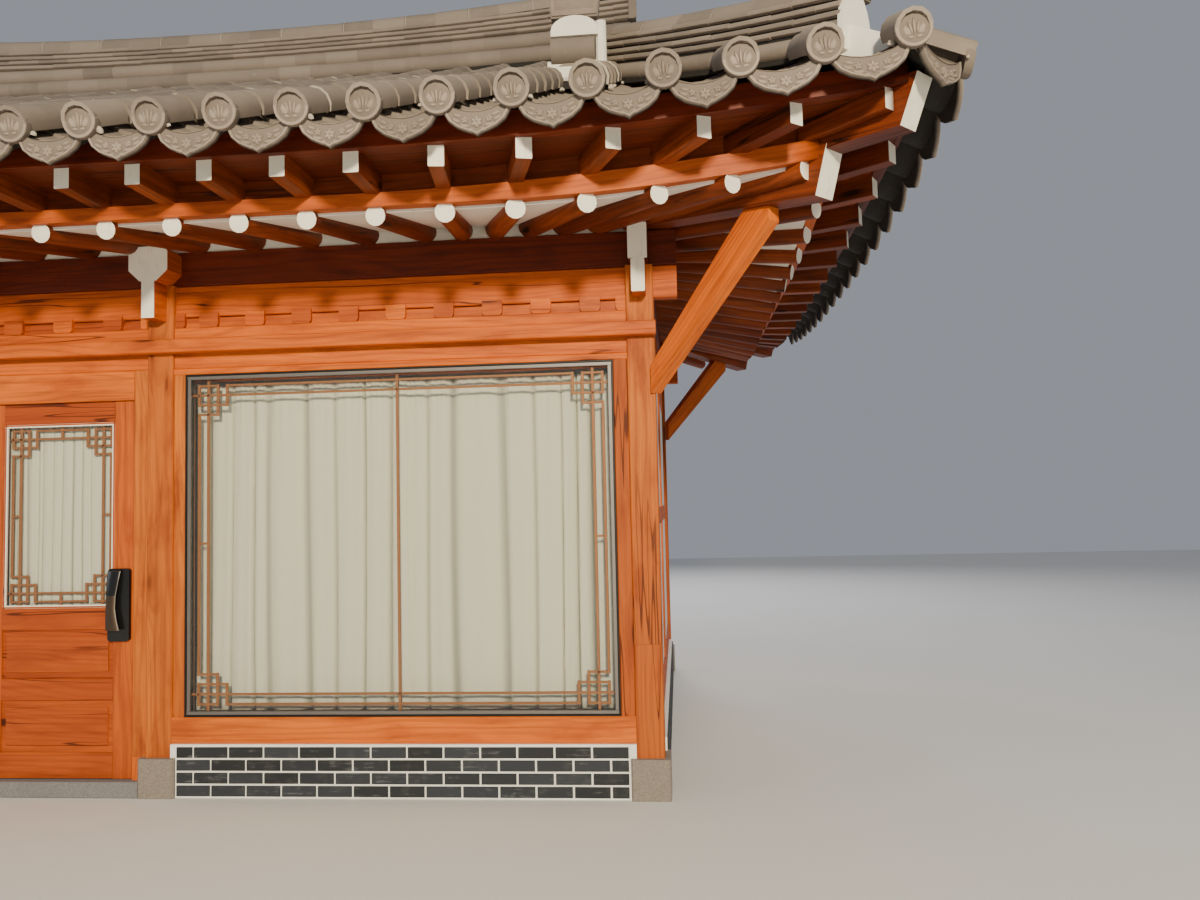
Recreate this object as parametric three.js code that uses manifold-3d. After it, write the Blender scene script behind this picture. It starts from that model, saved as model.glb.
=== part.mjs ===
// A small hanok house: three bays of square pine posts under a hip-and-gable tiled roof.
// Millimetres, +Z up. The origin is on the ground under the middle of the plan, the front faces -Y.
import * as THREE from "three";
import { mergeVertices } from "three/addons/utils/BufferGeometryUtils.js";
import Module from "manifold-3d";

const wasm = await Module();
wasm.setup();

// Plan, in the old measure of the ja
const JA = 303;
const WINDOW_BAY = 9 * JA;
const DOOR_BAY = 4 * JA;
const HALF_LENGTH = WINDOW_BAY + DOOR_BAY / 2;
const HALF_DEPTH = 6 * JA;
const DOOR_POST_X = DOOR_BAY / 2;
const POST = 150;
const HALF_POST = POST / 2;

// What touches after a cut keeps this gap
const GAP = 0.3;

// Heights above the ground
const STEP_TOP = 88;
const STONE_TOP = 215;
const PLINTH_TOP = 289;
const FLOOR_TOP = 420;
const SILL_TOP = 432;
const WINDOW_TOP = 2345;
const LINTEL_BOTTOM = 2380;
const RAIL_BOTTOM = 2465;
const RAIL_TOP = 2540;
const LINTEL_TOP = 2617;
const BEARER_BOTTOM = 2681;
const PURLIN_BOTTOM = 2858;
const PURLIN_TOP = 3052;

// Timber sections
const LINTEL_WIDTH = 105;
const PLANK_WIDTH = 30;
const BEARER_WIDTH = 75;
const PURLIN_WIDTH = 105;
const CROSSING_END = 205;
const BEAM_WIDTH = 226;
const BEAM_END = 200;
const BLOCK_BOTTOM = 2650;

// Roof: the bed is the hollow of the pan tiles, measured inward from the eave edge
const EAVE = 1400;
const EAVE_X = HALF_LENGTH + EAVE;
const EAVE_Y = HALF_DEPTH + EAVE;
const EAVE_BED = 3133;
const BED_SLOPE = 0.49;
const BED_CURVE = 1.0e-5;
const CORNER_LIFT = 195;
const CORNER_LIFT_LENGTH = 2800;
const CORNER_LIFT_FADE = 3200;
const PAN_ABOVE_BED = 35;
const TILE_ABOVE_BED = 110;
const DECK_BELOW_BED = 20;
const VERGE_INWARD = 1510;
const VERGE_X = EAVE_X - VERGE_INWARD;
const GABLE_THICKNESS = 90;

function bedHeight(inward, fromCorner) {
  const lift = CORNER_LIFT * Math.max(0, 1 - fromCorner / CORNER_LIFT_LENGTH) ** 2;
  return EAVE_BED + BED_SLOPE * inward + BED_CURVE * inward ** 2 + lift * (1 - inward / CORNER_LIFT_FADE);
}

// Solids

function solidFrom(positions, triangles) {
  const mesh = new wasm.Mesh({
    numProp: 3,
    vertProperties: new Float32Array(positions),
    triVerts: new Uint32Array(triangles),
  });
  return new wasm.Manifold(mesh);
}

function solidFromGeometry(geometry) {
  geometry.deleteAttribute("normal");
  geometry.deleteAttribute("uv");
  const merged = mergeVertices(geometry, 1e-3);
  return solidFrom(merged.attributes.position.array, merged.index.array);
}

function box(x0, x1, y0, y1, z0, z1) {
  const geometry = new THREE.BoxGeometry(x1 - x0, y1 - y0, z1 - z0);
  geometry.translate((x0 + x1) / 2, (y0 + y1) / 2, (z0 + z1) / 2);
  return solidFromGeometry(geometry);
}

// A closed sheet between a top and a bottom grid, each a function of column and row
function sheet(columns, rows, topPoint, bottomPoint) {
  const positions = [];
  const stride = rows + 1;
  const layer = (columns + 1) * stride;
  for (const point of [topPoint, bottomPoint]) {
    for (let i = 0; i <= columns; i++) {
      for (let j = 0; j <= rows; j++) positions.push(...point(i, j));
    }
  }
  const triangles = [];
  const quad = (a, b, c, d) => triangles.push(a, b, c, a, c, d);
  for (let i = 0; i < columns; i++) {
    for (let j = 0; j < rows; j++) {
      const a = i * stride + j;
      const b = a + stride;
      quad(a, b, b + 1, a + 1);
      quad(layer + a, layer + a + 1, layer + b + 1, layer + b);
    }
  }
  for (let i = 0; i < columns; i++) {
    const a = i * stride;
    quad(a, layer + a, layer + a + stride, a + stride);
    const b = a + rows;
    quad(b, b + stride, layer + b + stride, layer + b);
  }
  for (let j = 0; j < rows; j++) {
    const last = columns * stride;
    quad(j, j + 1, layer + j + 1, layer + j);
    quad(last + j, layer + last + j, layer + last + j + 1, last + j + 1);
  }
  return solidFrom(positions, triangles);
}

// A polygon drawn in one plane and pushed through the third direction
function prism(points, plane, from, to) {
  const shape = new THREE.Shape(points.map(([a, b]) => new THREE.Vector2(a, b)));
  const geometry = new THREE.ExtrudeGeometry(shape, { depth: to - from, bevelEnabled: false, curveSegments: 1 });
  geometry.translate(0, 0, from);
  const turn = new THREE.Matrix4();
  if (plane === "xz") turn.makeBasis(axis(1, 0, 0), axis(0, 0, 1), axis(0, -1, 0));
  if (plane === "yz") turn.makeBasis(axis(0, 1, 0), axis(0, 0, 1), axis(1, 0, 0));
  geometry.applyMatrix4(turn);
  return solidFromGeometry(geometry);
}

function axis(x, y, z) {
  return new THREE.Vector3(x, y, z);
}

function join(solids) {
  return wasm.Manifold.union(solids);
}

function cut(solid, ...tools) {
  return tools.reduce((left, tool) => left.subtract(tool), solid);
}

function geometryFrom(solid) {
  const mesh = solid.getMesh();
  const geometry = new THREE.BufferGeometry();
  geometry.setAttribute("position", new THREE.BufferAttribute(new Float32Array(mesh.vertProperties), 3));
  geometry.setIndex(new THREE.BufferAttribute(new Uint32Array(mesh.triVerts), 1));
  return geometry;
}

// Finishes

const FINISHES = {
  pine: { color: 0xc4622a, roughness: 0.6, metalness: 0 },
  dark_pine: { color: 0x7a3418, roughness: 0.65, metalness: 0 },
  plaster: { color: 0xe8e2d4, roughness: 0.9, metalness: 0 },
  granite: { color: 0xa59a8b, roughness: 0.9, metalness: 0 },
  brick: { color: 0x34383b, roughness: 0.85, metalness: 0 },
  tile: { color: 0x6e675f, roughness: 0.8, metalness: 0 },
  black_metal: { color: 0x1c1b1a, roughness: 0.45, metalness: 0.7 },
  bronze: { color: 0x6a5a46, roughness: 0.4, metalness: 0.8 },
  glass: { color: 0xa9c2c4, roughness: 0.08, metalness: 0 },
  curtain: { color: 0xe6e6de, roughness: 0.95, metalness: 0 },
};

const house = new THREE.Group();

// Edges shorter than this are closed up
const FINEST = 0.05;

function add(name, finish, solid) {
  const material = new THREE.MeshStandardMaterial(FINISHES[finish]);
  const mesh = new THREE.Mesh(geometryFrom(solid.simplify(FINEST)), material);
  mesh.name = name;
  house.add(mesh);
}

const SIDES = [["left", -1], ["right", 1]];

// Stone base: eight base stones, the door step and the floor

const STONE_HALF = 105;
const PLINTH_OUT = 85;
const PLINTH_IN = 55;
const SLAB_X = HALF_LENGTH - PLINTH_IN;
const SLAB_Y = HALF_DEPTH - PLINTH_IN;
const STONE_PLACES = [];
for (const x of [-HALF_LENGTH, -DOOR_POST_X, DOOR_POST_X, HALF_LENGTH]) {
  for (const y of [-HALF_DEPTH, HALF_DEPTH]) STONE_PLACES.push([x, y]);
}

function stones(grow) {
  const half = STONE_HALF + grow;
  return STONE_PLACES.map(([x, y]) => box(x - half, x + half, y - half, y + half, 0, STONE_TOP + grow));
}

function stoneBase() {
  const inner = DOOR_POST_X - STONE_HALF;
  const slab = box(-SLAB_X, SLAB_X, -SLAB_Y, SLAB_Y, 0, STEP_TOP);
  const step = box(-inner - 10, inner + 10, -HALF_DEPTH - STONE_HALF + 5, -SLAB_Y + 10, 0, STEP_TOP);
  const floors = SIDES.map(([, side]) => {
    const near = side * (DOOR_POST_X + STONE_HALF);
    const far = side * (HALF_LENGTH - STONE_HALF);
    const edge = HALF_DEPTH - STONE_HALF - 5;
    return box(Math.min(near, far), Math.max(near, far), -edge, edge, STEP_TOP - 10, FLOOR_TOP);
  });
  return join([slab, step, ...floors, ...stones(0)]);
}
add("stone_base", "granite", stoneBase());

// Brick plinths: between the stones at the ground, and over them up to the posts

const PLINTH_END = HALF_POST;
const REAR_STRIP = 30;

function plinth(x0, x1, y0, y1) {
  return cut(box(Math.min(x0, x1), Math.max(x0, x1), Math.min(y0, y1), Math.max(y0, y1), 0, PLINTH_TOP), ...stones(0));
}

for (const [name, side] of SIDES) {
  const near = side * (DOOR_POST_X + PLINTH_END);
  const far = side * (HALF_LENGTH - PLINTH_END);
  const end = HALF_DEPTH - PLINTH_END;
  add(`front_plinth_${name}`, "brick", plinth(near, far, -HALF_DEPTH - PLINTH_OUT, -SLAB_Y));
  add(`${name}_plinth`, "brick", plinth(side * (HALF_LENGTH + PLINTH_OUT), side * SLAB_X, -end, end));
}

// The rear plinth is one piece: a strip behind the two middle posts ties it together
function rearPlinth() {
  const end = HALF_LENGTH - PLINTH_END;
  const outer = HALF_DEPTH + PLINTH_OUT;
  const inner = HALF_DEPTH - HALF_POST;
  const strip = box(-end, end, inner - REAR_STRIP, inner + 10, STONE_TOP, PLINTH_TOP);
  const posts = [-DOOR_POST_X, DOOR_POST_X].map((x) =>
    box(x - HALF_POST, x + HALF_POST, inner, outer + 10, STONE_TOP - 1, PLINTH_TOP + 1));
  return cut(join([plinth(-end, end, SLAB_Y, outer), box(-end, end, inner, outer, STONE_TOP, PLINTH_TOP), strip]), ...posts);
}
add("rear_plinth", "brick", rearPlinth());

// Rings of timber that pass through the post heads

function ring(halfWidth, z0, z1, overrun) {
  const x = HALF_LENGTH;
  const y = HALF_DEPTH;
  const endX = x + Math.max(overrun, halfWidth);
  const endY = y + Math.max(overrun, halfWidth);
  return [
    box(-endX, endX, -y - halfWidth, -y + halfWidth, z0, z1),
    box(-endX, endX, y - halfWidth, y + halfWidth, z0, z1),
    box(-x - halfWidth, -x + halfWidth, -endY, endY, z0, z1),
    box(x - halfWidth, x + halfWidth, -endY, endY, z0, z1),
  ];
}

const lintelRing = (grow) => ring(LINTEL_WIDTH / 2 + grow, LINTEL_BOTTOM - grow, LINTEL_TOP + grow, 0);
const plankRing = (grow) => ring(PLANK_WIDTH / 2 + grow, LINTEL_TOP, BEARER_BOTTOM, 0);
const bearerRing = (grow) => ring(BEARER_WIDTH / 2 + grow, BEARER_BOTTOM - grow, PURLIN_BOTTOM, CROSSING_END);
const purlinRing = (grow) => ring(PURLIN_WIDTH / 2 + grow, PURLIN_BOTTOM, PURLIN_TOP + grow, CROSSING_END + grow);

// Cross beams: the beam keeps the lower half where a purlin or a bearer crosses it

const BEAM_LAP = (PURLIN_BOTTOM + PURLIN_TOP) / 2;
const BLOCK_LAP = (BEARER_BOTTOM + PURLIN_BOTTOM) / 2;
const BLOCK_LENGTH = 420;

function beamOutline() {
  const half = BEAM_WIDTH / 2;
  const foot = 49;
  const lowChamfer = 60;
  const topChamfer = 28;
  return [
    [-foot, PURLIN_BOTTOM], [foot, PURLIN_BOTTOM],
    [half, PURLIN_BOTTOM + lowChamfer], [half, PURLIN_TOP - topChamfer],
    [half - topChamfer, PURLIN_TOP], [topChamfer - half, PURLIN_TOP],
    [-half, PURLIN_TOP - topChamfer], [-half, PURLIN_BOTTOM + lowChamfer],
  ];
}

const beamHeads = [-DOOR_POST_X, DOOR_POST_X].map((x) => {
  const half = BEAM_WIDTH / 2 + GAP;
  const end = HALF_DEPTH + BEAM_END + GAP;
  return box(x - half, x + half, -end, end, PURLIN_BOTTOM, PURLIN_TOP + GAP);
});

function crossBeam(x) {
  const end = HALF_DEPTH + BEAM_END;
  const outline = beamOutline().map(([a, z]) => [a + x, z]);
  const parts = [prism(outline, "xz", -end, end)];
  for (const side of [-1, 1]) {
    const near = side * (end - BLOCK_LENGTH);
    const far = side * end;
    parts.push(box(x - BEARER_WIDTH / 2, x + BEARER_WIDTH / 2,
      Math.min(near, far), Math.max(near, far), BLOCK_BOTTOM, PURLIN_BOTTOM + 20));
  }
  return cut(join(parts), ...beamNotches(x));
}

function beamNotches(x) {
  const notches = [];
  const reach = BEAM_WIDTH;
  for (const side of [-1, 1]) {
    const y = side * HALF_DEPTH;
    const purlin = PURLIN_WIDTH / 2 + GAP;
    const bearer = BEARER_WIDTH / 2 + GAP;
    notches.push(box(x - reach, x + reach, y - purlin, y + purlin, BEAM_LAP, PURLIN_TOP + 1));
    notches.push(box(x - reach, x + reach, y - bearer, y + bearer, BLOCK_LAP, PURLIN_BOTTOM + GAP));
  }
  return notches;
}

function ringNotches(halfWidth, z0, z1) {
  const tools = [];
  for (const x of [-DOOR_POST_X, DOOR_POST_X]) {
    for (const y of [-HALF_DEPTH, HALF_DEPTH]) {
      tools.push(box(x - halfWidth - GAP, x + halfWidth + GAP, y - POST, y + POST, z0, z1));
    }
  }
  return tools;
}

for (const [name, side] of SIDES) add(`beam_${name}`, "pine", crossBeam(side * DOOR_POST_X));
add("purlin_ring", "pine", cut(join(purlinRing(0)), ...ringNotches(BEAM_WIDTH / 2, PURLIN_BOTTOM - 1, BEAM_LAP)));

// Bracket ring: bearing blocks on the lintel, the plank between them and the bearer that they carry

const BLOCK_SIZE = 110;
const BLOCK_SPACING = 286;

function bearingBlock(x, y, alongX) {
  const half = BLOCK_SIZE / 2;
  const across = BEARER_WIDTH / 2;
  const [halfX, halfY] = alongX ? [half, across] : [across, half];
  return box(x - halfX, x + halfX, y - halfY, y + halfY, LINTEL_TOP, BEARER_BOTTOM);
}

function blockPlaces(from, to) {
  const clear = to - from;
  const count = Math.round(clear / BLOCK_SPACING) - 1;
  const step = clear / (count + 1);
  return Array.from({ length: count }, (unused, i) => from + step * (i + 1));
}

function bracketRing() {
  const parts = [...plankRing(0), ...bearerRing(0)];
  const bays = [[-HALF_LENGTH, -DOOR_POST_X], [-DOOR_POST_X, DOOR_POST_X], [DOOR_POST_X, HALF_LENGTH]];
  for (const y of [-HALF_DEPTH, HALF_DEPTH]) {
    for (const [from, to] of bays) {
      for (const x of blockPlaces(from, to)) parts.push(bearingBlock(x, y, true));
    }
  }
  for (const x of [-HALF_LENGTH, HALF_LENGTH]) {
    for (const y of blockPlaces(-HALF_DEPTH, HALF_DEPTH)) parts.push(bearingBlock(x, y, false));
  }
  return cut(join(parts), ...ringNotches(BEARER_WIDTH / 2, BLOCK_BOTTOM - GAP, BLOCK_LAP + GAP));
}
add("bracket_ring", "pine", bracketRing());
add("lintel_ring", "pine", join(lintelRing(0)));

// Posts, forked at the head for the rings and for the block under each beam

function post(x, y) {
  const body = box(x - HALF_POST, x + HALF_POST, y - HALF_POST, y + HALF_POST, STONE_TOP, PURLIN_BOTTOM);
  const tools = [...lintelRing(GAP), ...plankRing(GAP), ...bearerRing(GAP)];
  if (Math.abs(x) < HALF_LENGTH) {
    const half = BEARER_WIDTH / 2 + GAP;
    tools.push(box(x - half, x + half, y - POST, y + POST, BLOCK_BOTTOM - GAP, PURLIN_BOTTOM + 1));
  }
  return cut(body, ...tools);
}

const POST_X = [-HALF_LENGTH, -DOOR_POST_X, DOOR_POST_X, HALF_LENGTH];
POST_X.forEach((x, i) => {
  add(`post_front_${i + 1}`, "pine", post(x, -HALF_DEPTH));
  add(`post_rear_${i + 1}`, "pine", post(x, HALF_DEPTH));
});

// Rail board across the front of the posts

const RAIL_OUT = 135;
const RAIL_PAST_CORNER = 85;
const RAIL_X = HALF_LENGTH + RAIL_PAST_CORNER;
add("front_rail", "pine",
  box(-RAIL_X, RAIL_X, -HALF_DEPTH - RAIL_OUT, -HALF_DEPTH - HALF_POST, RAIL_BOTTOM, RAIL_TOP));

// Windows: timber surround with its sill beam, black metal frame with one pane, curtain behind

const WINDOW_NEAR = 748;
const WINDOW_FAR = 3179;
const SURROUND_OUT = 60;
const SILL_OUT = 70;
const SURROUND_IN = 50;
const FRAME_OUT = 62;
const FRAME_IN = 20;
const FRAME_BAR = 32;
const PANE_OUT = 36;
const PANE_IN = 12;
const TRACK_BOTTOM = 2320;
const CURTAIN_OUT = 62;
const CURTAIN_IN = 122;

// Boxes of the right-hand bay are mirrored for the left one; depths are from the wall axis, outward negative
function bayBox(side, x0, x1, out, inner, z0, z1) {
  const a = side * x0;
  const b = side * x1;
  return box(Math.min(a, b), Math.max(a, b), -HALF_DEPTH + out, -HALF_DEPTH + inner, z0, z1);
}

function windowSurround(side) {
  const near = DOOR_POST_X + HALF_POST;
  const far = HALF_LENGTH - HALF_POST;
  const body = bayBox(side, near, far, -SURROUND_OUT, SURROUND_IN, PLINTH_TOP, LINTEL_BOTTOM);
  const sill = bayBox(side, near, far, -SILL_OUT, SURROUND_IN, PLINTH_TOP, SILL_TOP);
  const track = bayBox(side, near, far, SURROUND_IN - 10, CURTAIN_IN, TRACK_BOTTOM, LINTEL_BOTTOM);
  const opening = bayBox(side, WINDOW_NEAR, WINDOW_FAR, -POST, SURROUND_IN, SILL_TOP, WINDOW_TOP);
  return join([cut(join([body, sill]), opening), track]);
}

function windowUnit(side) {
  const frame = bayBox(side, WINDOW_NEAR + GAP, WINDOW_FAR - GAP, -FRAME_OUT, FRAME_IN, SILL_TOP, WINDOW_TOP - GAP);
  const hole = bayBox(side, WINDOW_NEAR + FRAME_BAR, WINDOW_FAR - FRAME_BAR, -POST, POST,
    SILL_TOP + FRAME_BAR, WINDOW_TOP - FRAME_BAR);
  const pane = bayBox(side, WINDOW_NEAR + FRAME_BAR - 5, WINDOW_FAR - FRAME_BAR + 5, -PANE_OUT, -PANE_IN,
    SILL_TOP + FRAME_BAR - 5, WINDOW_TOP - FRAME_BAR + 5);
  return join([cut(frame, hole), pane]);
}

for (const [name, side] of SIDES) {
  add(`window_surround_${name}`, "pine", windowSurround(side));
  add(`window_${name}`, "black_metal", windowUnit(side));
  const curtain = bayBox(side, WINDOW_NEAR - 20, WINDOW_FAR + 20, CURTAIN_OUT, CURTAIN_IN,
    FLOOR_TOP + 20, TRACK_BOTTOM - GAP);
  add(`curtain_${name}`, "curtain", curtain);
}

// Side and rear walls: plaster between timber sill, studs and rails

const WALL_HALF = 45;
const STUD_HALF = 58;
const SILL_HEIGHT = SILL_TOP - PLINTH_TOP;
const MID_RAIL = 1420;
const MID_RAIL_HEIGHT = 110;
const STUD_WIDTH = 120;
const REAR_WINDOW = { near: 1363, far: 2575, bottom: 1200, top: 2109 };

function sideWall(side) {
  const x = side * HALF_LENGTH;
  const end = HALF_DEPTH - HALF_POST;
  const piece = (half, y0, y1, z0, z1) => box(x - half, x + half, y0, y1, z0, z1);
  return join([
    piece(WALL_HALF, -end, end, PLINTH_TOP, LINTEL_BOTTOM),
    piece(STUD_HALF, -end, end, PLINTH_TOP, PLINTH_TOP + SILL_HEIGHT),
    piece(STUD_HALF, -end, end, MID_RAIL, MID_RAIL + MID_RAIL_HEIGHT),
    piece(STUD_HALF, -STUD_WIDTH / 2, STUD_WIDTH / 2, PLINTH_TOP, LINTEL_BOTTOM),
  ]);
}

function rearWall() {
  const y = HALF_DEPTH;
  const lining = box(-HALF_LENGTH + HALF_POST, HALF_LENGTH - HALF_POST, y - HALF_POST - REAR_STRIP,
    y - HALF_POST - GAP, PLINTH_TOP, LINTEL_BOTTOM);
  const parts = [lining];
  const bays = [[-HALF_LENGTH, -DOOR_POST_X], [-DOOR_POST_X, DOOR_POST_X], [DOOR_POST_X, HALF_LENGTH]];
  for (const [from, to] of bays) {
    const x0 = from + HALF_POST;
    const x1 = to - HALF_POST;
    parts.push(box(x0, x1, y - HALF_POST - 10, y + WALL_HALF, PLINTH_TOP, LINTEL_BOTTOM));
    parts.push(box(x0, x1, y, y + STUD_HALF, PLINTH_TOP, PLINTH_TOP + SILL_HEIGHT));
    parts.push(box(x0, x1, y, y + STUD_HALF, MID_RAIL - 330, MID_RAIL - 330 + MID_RAIL_HEIGHT));
  }
  const openings = SIDES.map(([, side]) => rearWindowBox(side, 0, -POST, POST));
  return cut(join(parts), ...openings);
}

function rearWindowBox(side, inset, y0, y1) {
  const { near, far, bottom, top } = REAR_WINDOW;
  const a = side * (near + inset);
  const b = side * (far - inset);
  return box(Math.min(a, b), Math.max(a, b), HALF_DEPTH + y0, HALF_DEPTH + y1, bottom + inset, top - inset);
}

function rearWindow(side) {
  const frame = rearWindowBox(side, GAP, -FRAME_IN, FRAME_OUT);
  const hole = rearWindowBox(side, FRAME_BAR + 20, -POST, POST);
  const pane = rearWindowBox(side, FRAME_BAR + 10, PANE_IN, PANE_OUT);
  return join([cut(frame, hole), pane]);
}

for (const [name, side] of SIDES) {
  add(`${name}_wall`, "plaster", sideWall(side));
  add(`rear_window_${name}`, "black_metal", rearWindow(side));
}
add("rear_wall", "plaster", rearWall());

// Door: jambs and head, leaf with its glass, curtain, lock and pull handle

const LEAF = { x0: -457, x1: 439, out: -50, inner: -5, z0: 93, z1: 2207 };
const DOOR_CLEAR = 5;
const LEAF_GLASS = { x0: -347, x1: 322, z0: 1040, z1: 2092 };
const LEAF_PANELS = [[652, 899], [248, 509]];
const PANEL_SINK = 8;

function doorBox(x0, x1, out, inner, z0, z1) {
  return box(x0, x1, -HALF_DEPTH + out, -HALF_DEPTH + inner, z0, z1);
}

function circle(a, b, radius, sides) {
  return Array.from({ length: sides }, (unused, i) => {
    const angle = (2 * Math.PI * (i + 0.5)) / sides;
    return [a + radius * Math.cos(angle), b + radius * Math.sin(angle)];
  });
}

// Hinge pins on the front edge of the leaf; grown by the gap they are the seats in the jamb
const HINGE = { x: LEAF.x0, y: -HALF_DEPTH + LEAF.out, radius: 9, length: 100, places: [300, 1100, 1900] };
const SEAT_GROWTH = 0.5;

function hingePins(grow) {
  const outline = circle(HINGE.x, HINGE.y, HINGE.radius + grow, 16);
  return HINGE.places.map((z) => prism(outline, "xy", z - grow, z + HINGE.length + grow));
}

function doorSurround() {
  const half = DOOR_POST_X - HALF_POST;
  const body = doorBox(-half, half, -SURROUND_OUT, SURROUND_IN, STEP_TOP, LINTEL_BOTTOM);
  const opening = doorBox(LEAF.x0 - DOOR_CLEAR, LEAF.x1 + DOOR_CLEAR, -POST, LEAF.inner + DOOR_CLEAR,
    STEP_TOP - 1, LEAF.z1 + DOOR_CLEAR);
  const stop = 22;
  const passage = doorBox(LEAF.x0 + stop, LEAF.x1 - stop, -POST, POST, STEP_TOP - 1, LEAF.z1 - stop);
  return cut(body, opening, passage, ...stones(GAP), ...hingePins(SEAT_GROWTH));
}

function doorLeaf() {
  const body = doorBox(LEAF.x0, LEAF.x1, LEAF.out, LEAF.inner, LEAF.z0, LEAF.z1);
  const { x0, x1, z0, z1 } = LEAF_GLASS;
  const tools = [doorBox(x0, x1, -POST, POST, z0, z1)];
  for (const [low, high] of LEAF_PANELS) {
    tools.push(doorBox(x0, x1, -POST, LEAF.out + PANEL_SINK, low, high));
    tools.push(doorBox(x0, x1, LEAF.inner - PANEL_SINK, POST, low, high));
  }
  return join([cut(body, ...tools), ...hingePins(0)]);
}

const LOCK = { x0: 303, x1: 430, z0: 855, z1: 1260, base: 24, reach: 62 };
const HANDLE_PIVOT = { depth: 29, drop: 12, radius: 7 };

// The pin that the handle swings on, half sunk in the face of the lock
function handlePin(grow) {
  const y = -HALF_DEPTH + LEAF.out - HANDLE_PIVOT.depth;
  const outline = circle(y, LOCK.z1 - HANDLE_PIVOT.drop, HANDLE_PIVOT.radius + grow, 16);
  return prism(outline, "yz", LOCK.x0 + 14 - grow, LOCK.x1 - 52 + grow);
}

function lockHandle() {
  const face = -HALF_DEPTH + LEAF.out;
  const at = (depth, z) => [face - depth, z];
  const outline = [
    at(LOCK.base + 6, LOCK.z1 - 12), at(LOCK.base + 16, LOCK.z1 - 4), at(LOCK.base + 24, LOCK.z1 - 60),
    at(LOCK.reach - 6, LOCK.z1 - 190), at(LOCK.reach, LOCK.z0 + 140), at(LOCK.reach - 4, LOCK.z0 + 62),
    at(LOCK.reach - 18, LOCK.z0 + 62), at(LOCK.reach - 16, LOCK.z0 + 140), at(LOCK.base + 10, LOCK.z1 - 170),
    at(LOCK.base + 6, LOCK.z1 - 120),
  ];
  return join([prism(outline, "yz", LOCK.x0 + 4, LOCK.x1 - 42), handlePin(0)]);
}

add("door_surround", "pine", doorSurround());
add("door_leaf", "dark_pine", doorLeaf());
add("door_glass", "glass",
  doorBox(LEAF_GLASS.x0 + GAP, LEAF_GLASS.x1 - GAP, -34, -20, LEAF_GLASS.z0, LEAF_GLASS.z1 - GAP));
add("door_curtain", "curtain",
  doorBox(LEAF_GLASS.x0 - 12, LEAF_GLASS.x1 + 12, LEAF.inner + GAP, LEAF.inner + 24,
    LEAF_GLASS.z0 - 12, LEAF_GLASS.z1 + 12));
const lockBase = doorBox(LOCK.x0, LOCK.x1, LEAF.out - LOCK.base, LEAF.out, LOCK.z0, LOCK.z1);
add("door_lock", "black_metal", cut(lockBase, handlePin(SEAT_GROWTH)));
add("door_handle", "bronze", lockHandle());

// Roof slopes: each is a curved sheet from its eave up to the ridge or to the gable

const SLOPE_COLUMNS = [-1, -0.9, -0.78, -0.65, -0.5, -0.36, 0.36, 0.5, 0.65, 0.78, 0.9, 1];
const SLOPE_ROWS = [0, 350, 800, 1509.7, 2400, EAVE_Y - 0.15];

// Half the width of a slope: it narrows along the hips, then runs straight up inside the verges
function slopeHalf(along, inward) {
  return along === EAVE_X ? Math.max(along - inward, VERGE_X) : along - inward;
}

function roofSlope(along, out, high, low, grow) {
  const rows = along === EAVE_X ? SLOPE_ROWS : SLOPE_ROWS.filter((inward) => inward < VERGE_INWARD);
  const point = (rise) => (i, j) => {
    const inward = rows[j];
    const place = SLOPE_COLUMNS[i];
    const edge = Math.abs(place) === 1 ? grow : 0;
    const x = place * (slopeHalf(along, inward) + edge);
    return [x, -out + inward, bedHeight(inward, along - Math.abs(x)) + rise];
  };
  return sheet(SLOPE_COLUMNS.length - 1, rows.length - 1, point(high), point(low));
}

const TURNS = { front: 0, right: 90, rear: 180, left: 270 };

function fourSlopes(high, low, grow) {
  const turned = ([name, turn]) => {
    const alongX = name === "front" || name === "rear";
    const slope = alongX ? roofSlope(EAVE_X, EAVE_Y, high, low, grow) : roofSlope(EAVE_Y, EAVE_X, high, low, grow);
    return [name, slope.rotate([0, 0, turn])];
  };
  return Object.fromEntries(Object.entries(TURNS).map(turned));
}

const aboveDeck = join(Object.values(fourSlopes(1800, -DECK_BELOW_BED - GAP, 4)));
const belowTiles = join(Object.values(fourSlopes(PAN_ABOVE_BED + GAP, -1200, 4)));

// Gables with their barge boards

const GABLE_INNER = VERGE_X - GABLE_THICKNESS;
const GABLE_FOOT = 3870;
const BARGE_THICKNESS = 40;
const BARGE_TOP = 60;
const BARGE_BOTTOM = -170;
const BARGE_REACH = 1150;

function vergeLine(halfWidth, offset, steps) {
  const points = [];
  for (let i = -steps; i <= steps; i++) {
    const y = (halfWidth * i) / steps;
    points.push([y, bedHeight(EAVE_Y - Math.abs(y), EAVE_X - GABLE_INNER) + offset]);
  }
  return points;
}

function gable(side) {
  const halfBase = EAVE_Y - 1525;
  const under = -DECK_BELOW_BED - 12;
  const wallOutline = [[-halfBase, GABLE_FOOT], ...vergeLine(halfBase, under, 6), [halfBase, GABLE_FOOT]];
  const wall = prism(wallOutline, "yz", GABLE_INNER, VERGE_X - GAP);
  const strip = (low, high) => [...vergeLine(BARGE_REACH, high, 4), ...vergeLine(BARGE_REACH, low, 4).reverse()];
  const board = prism(strip(BARGE_BOTTOM, BARGE_TOP), "yz", VERGE_X + GAP, VERGE_X + BARGE_THICKNESS);
  const root = prism(strip(BARGE_BOTTOM, under - 4), "yz", VERGE_X - 20, VERGE_X + BARGE_THICKNESS);
  const solid = join([wall, board, root]);
  return cut(side > 0 ? solid : solid.rotate([0, 0, 180]), aboveDeck);
}
for (const [name, side] of SIDES) add(`gable_${name}`, "plaster", gable(side));

// Main ridge, low in the middle and rising to its ends

const RIDGE_HALF = 110;
const RIDGE_TOP = 5385;
const RIDGE_LIFT = 165;
const RIDGE_END = VERGE_X + 30;
const RIDGE_STEPS = 10;
const RIDGE_SINK = 20;

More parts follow.
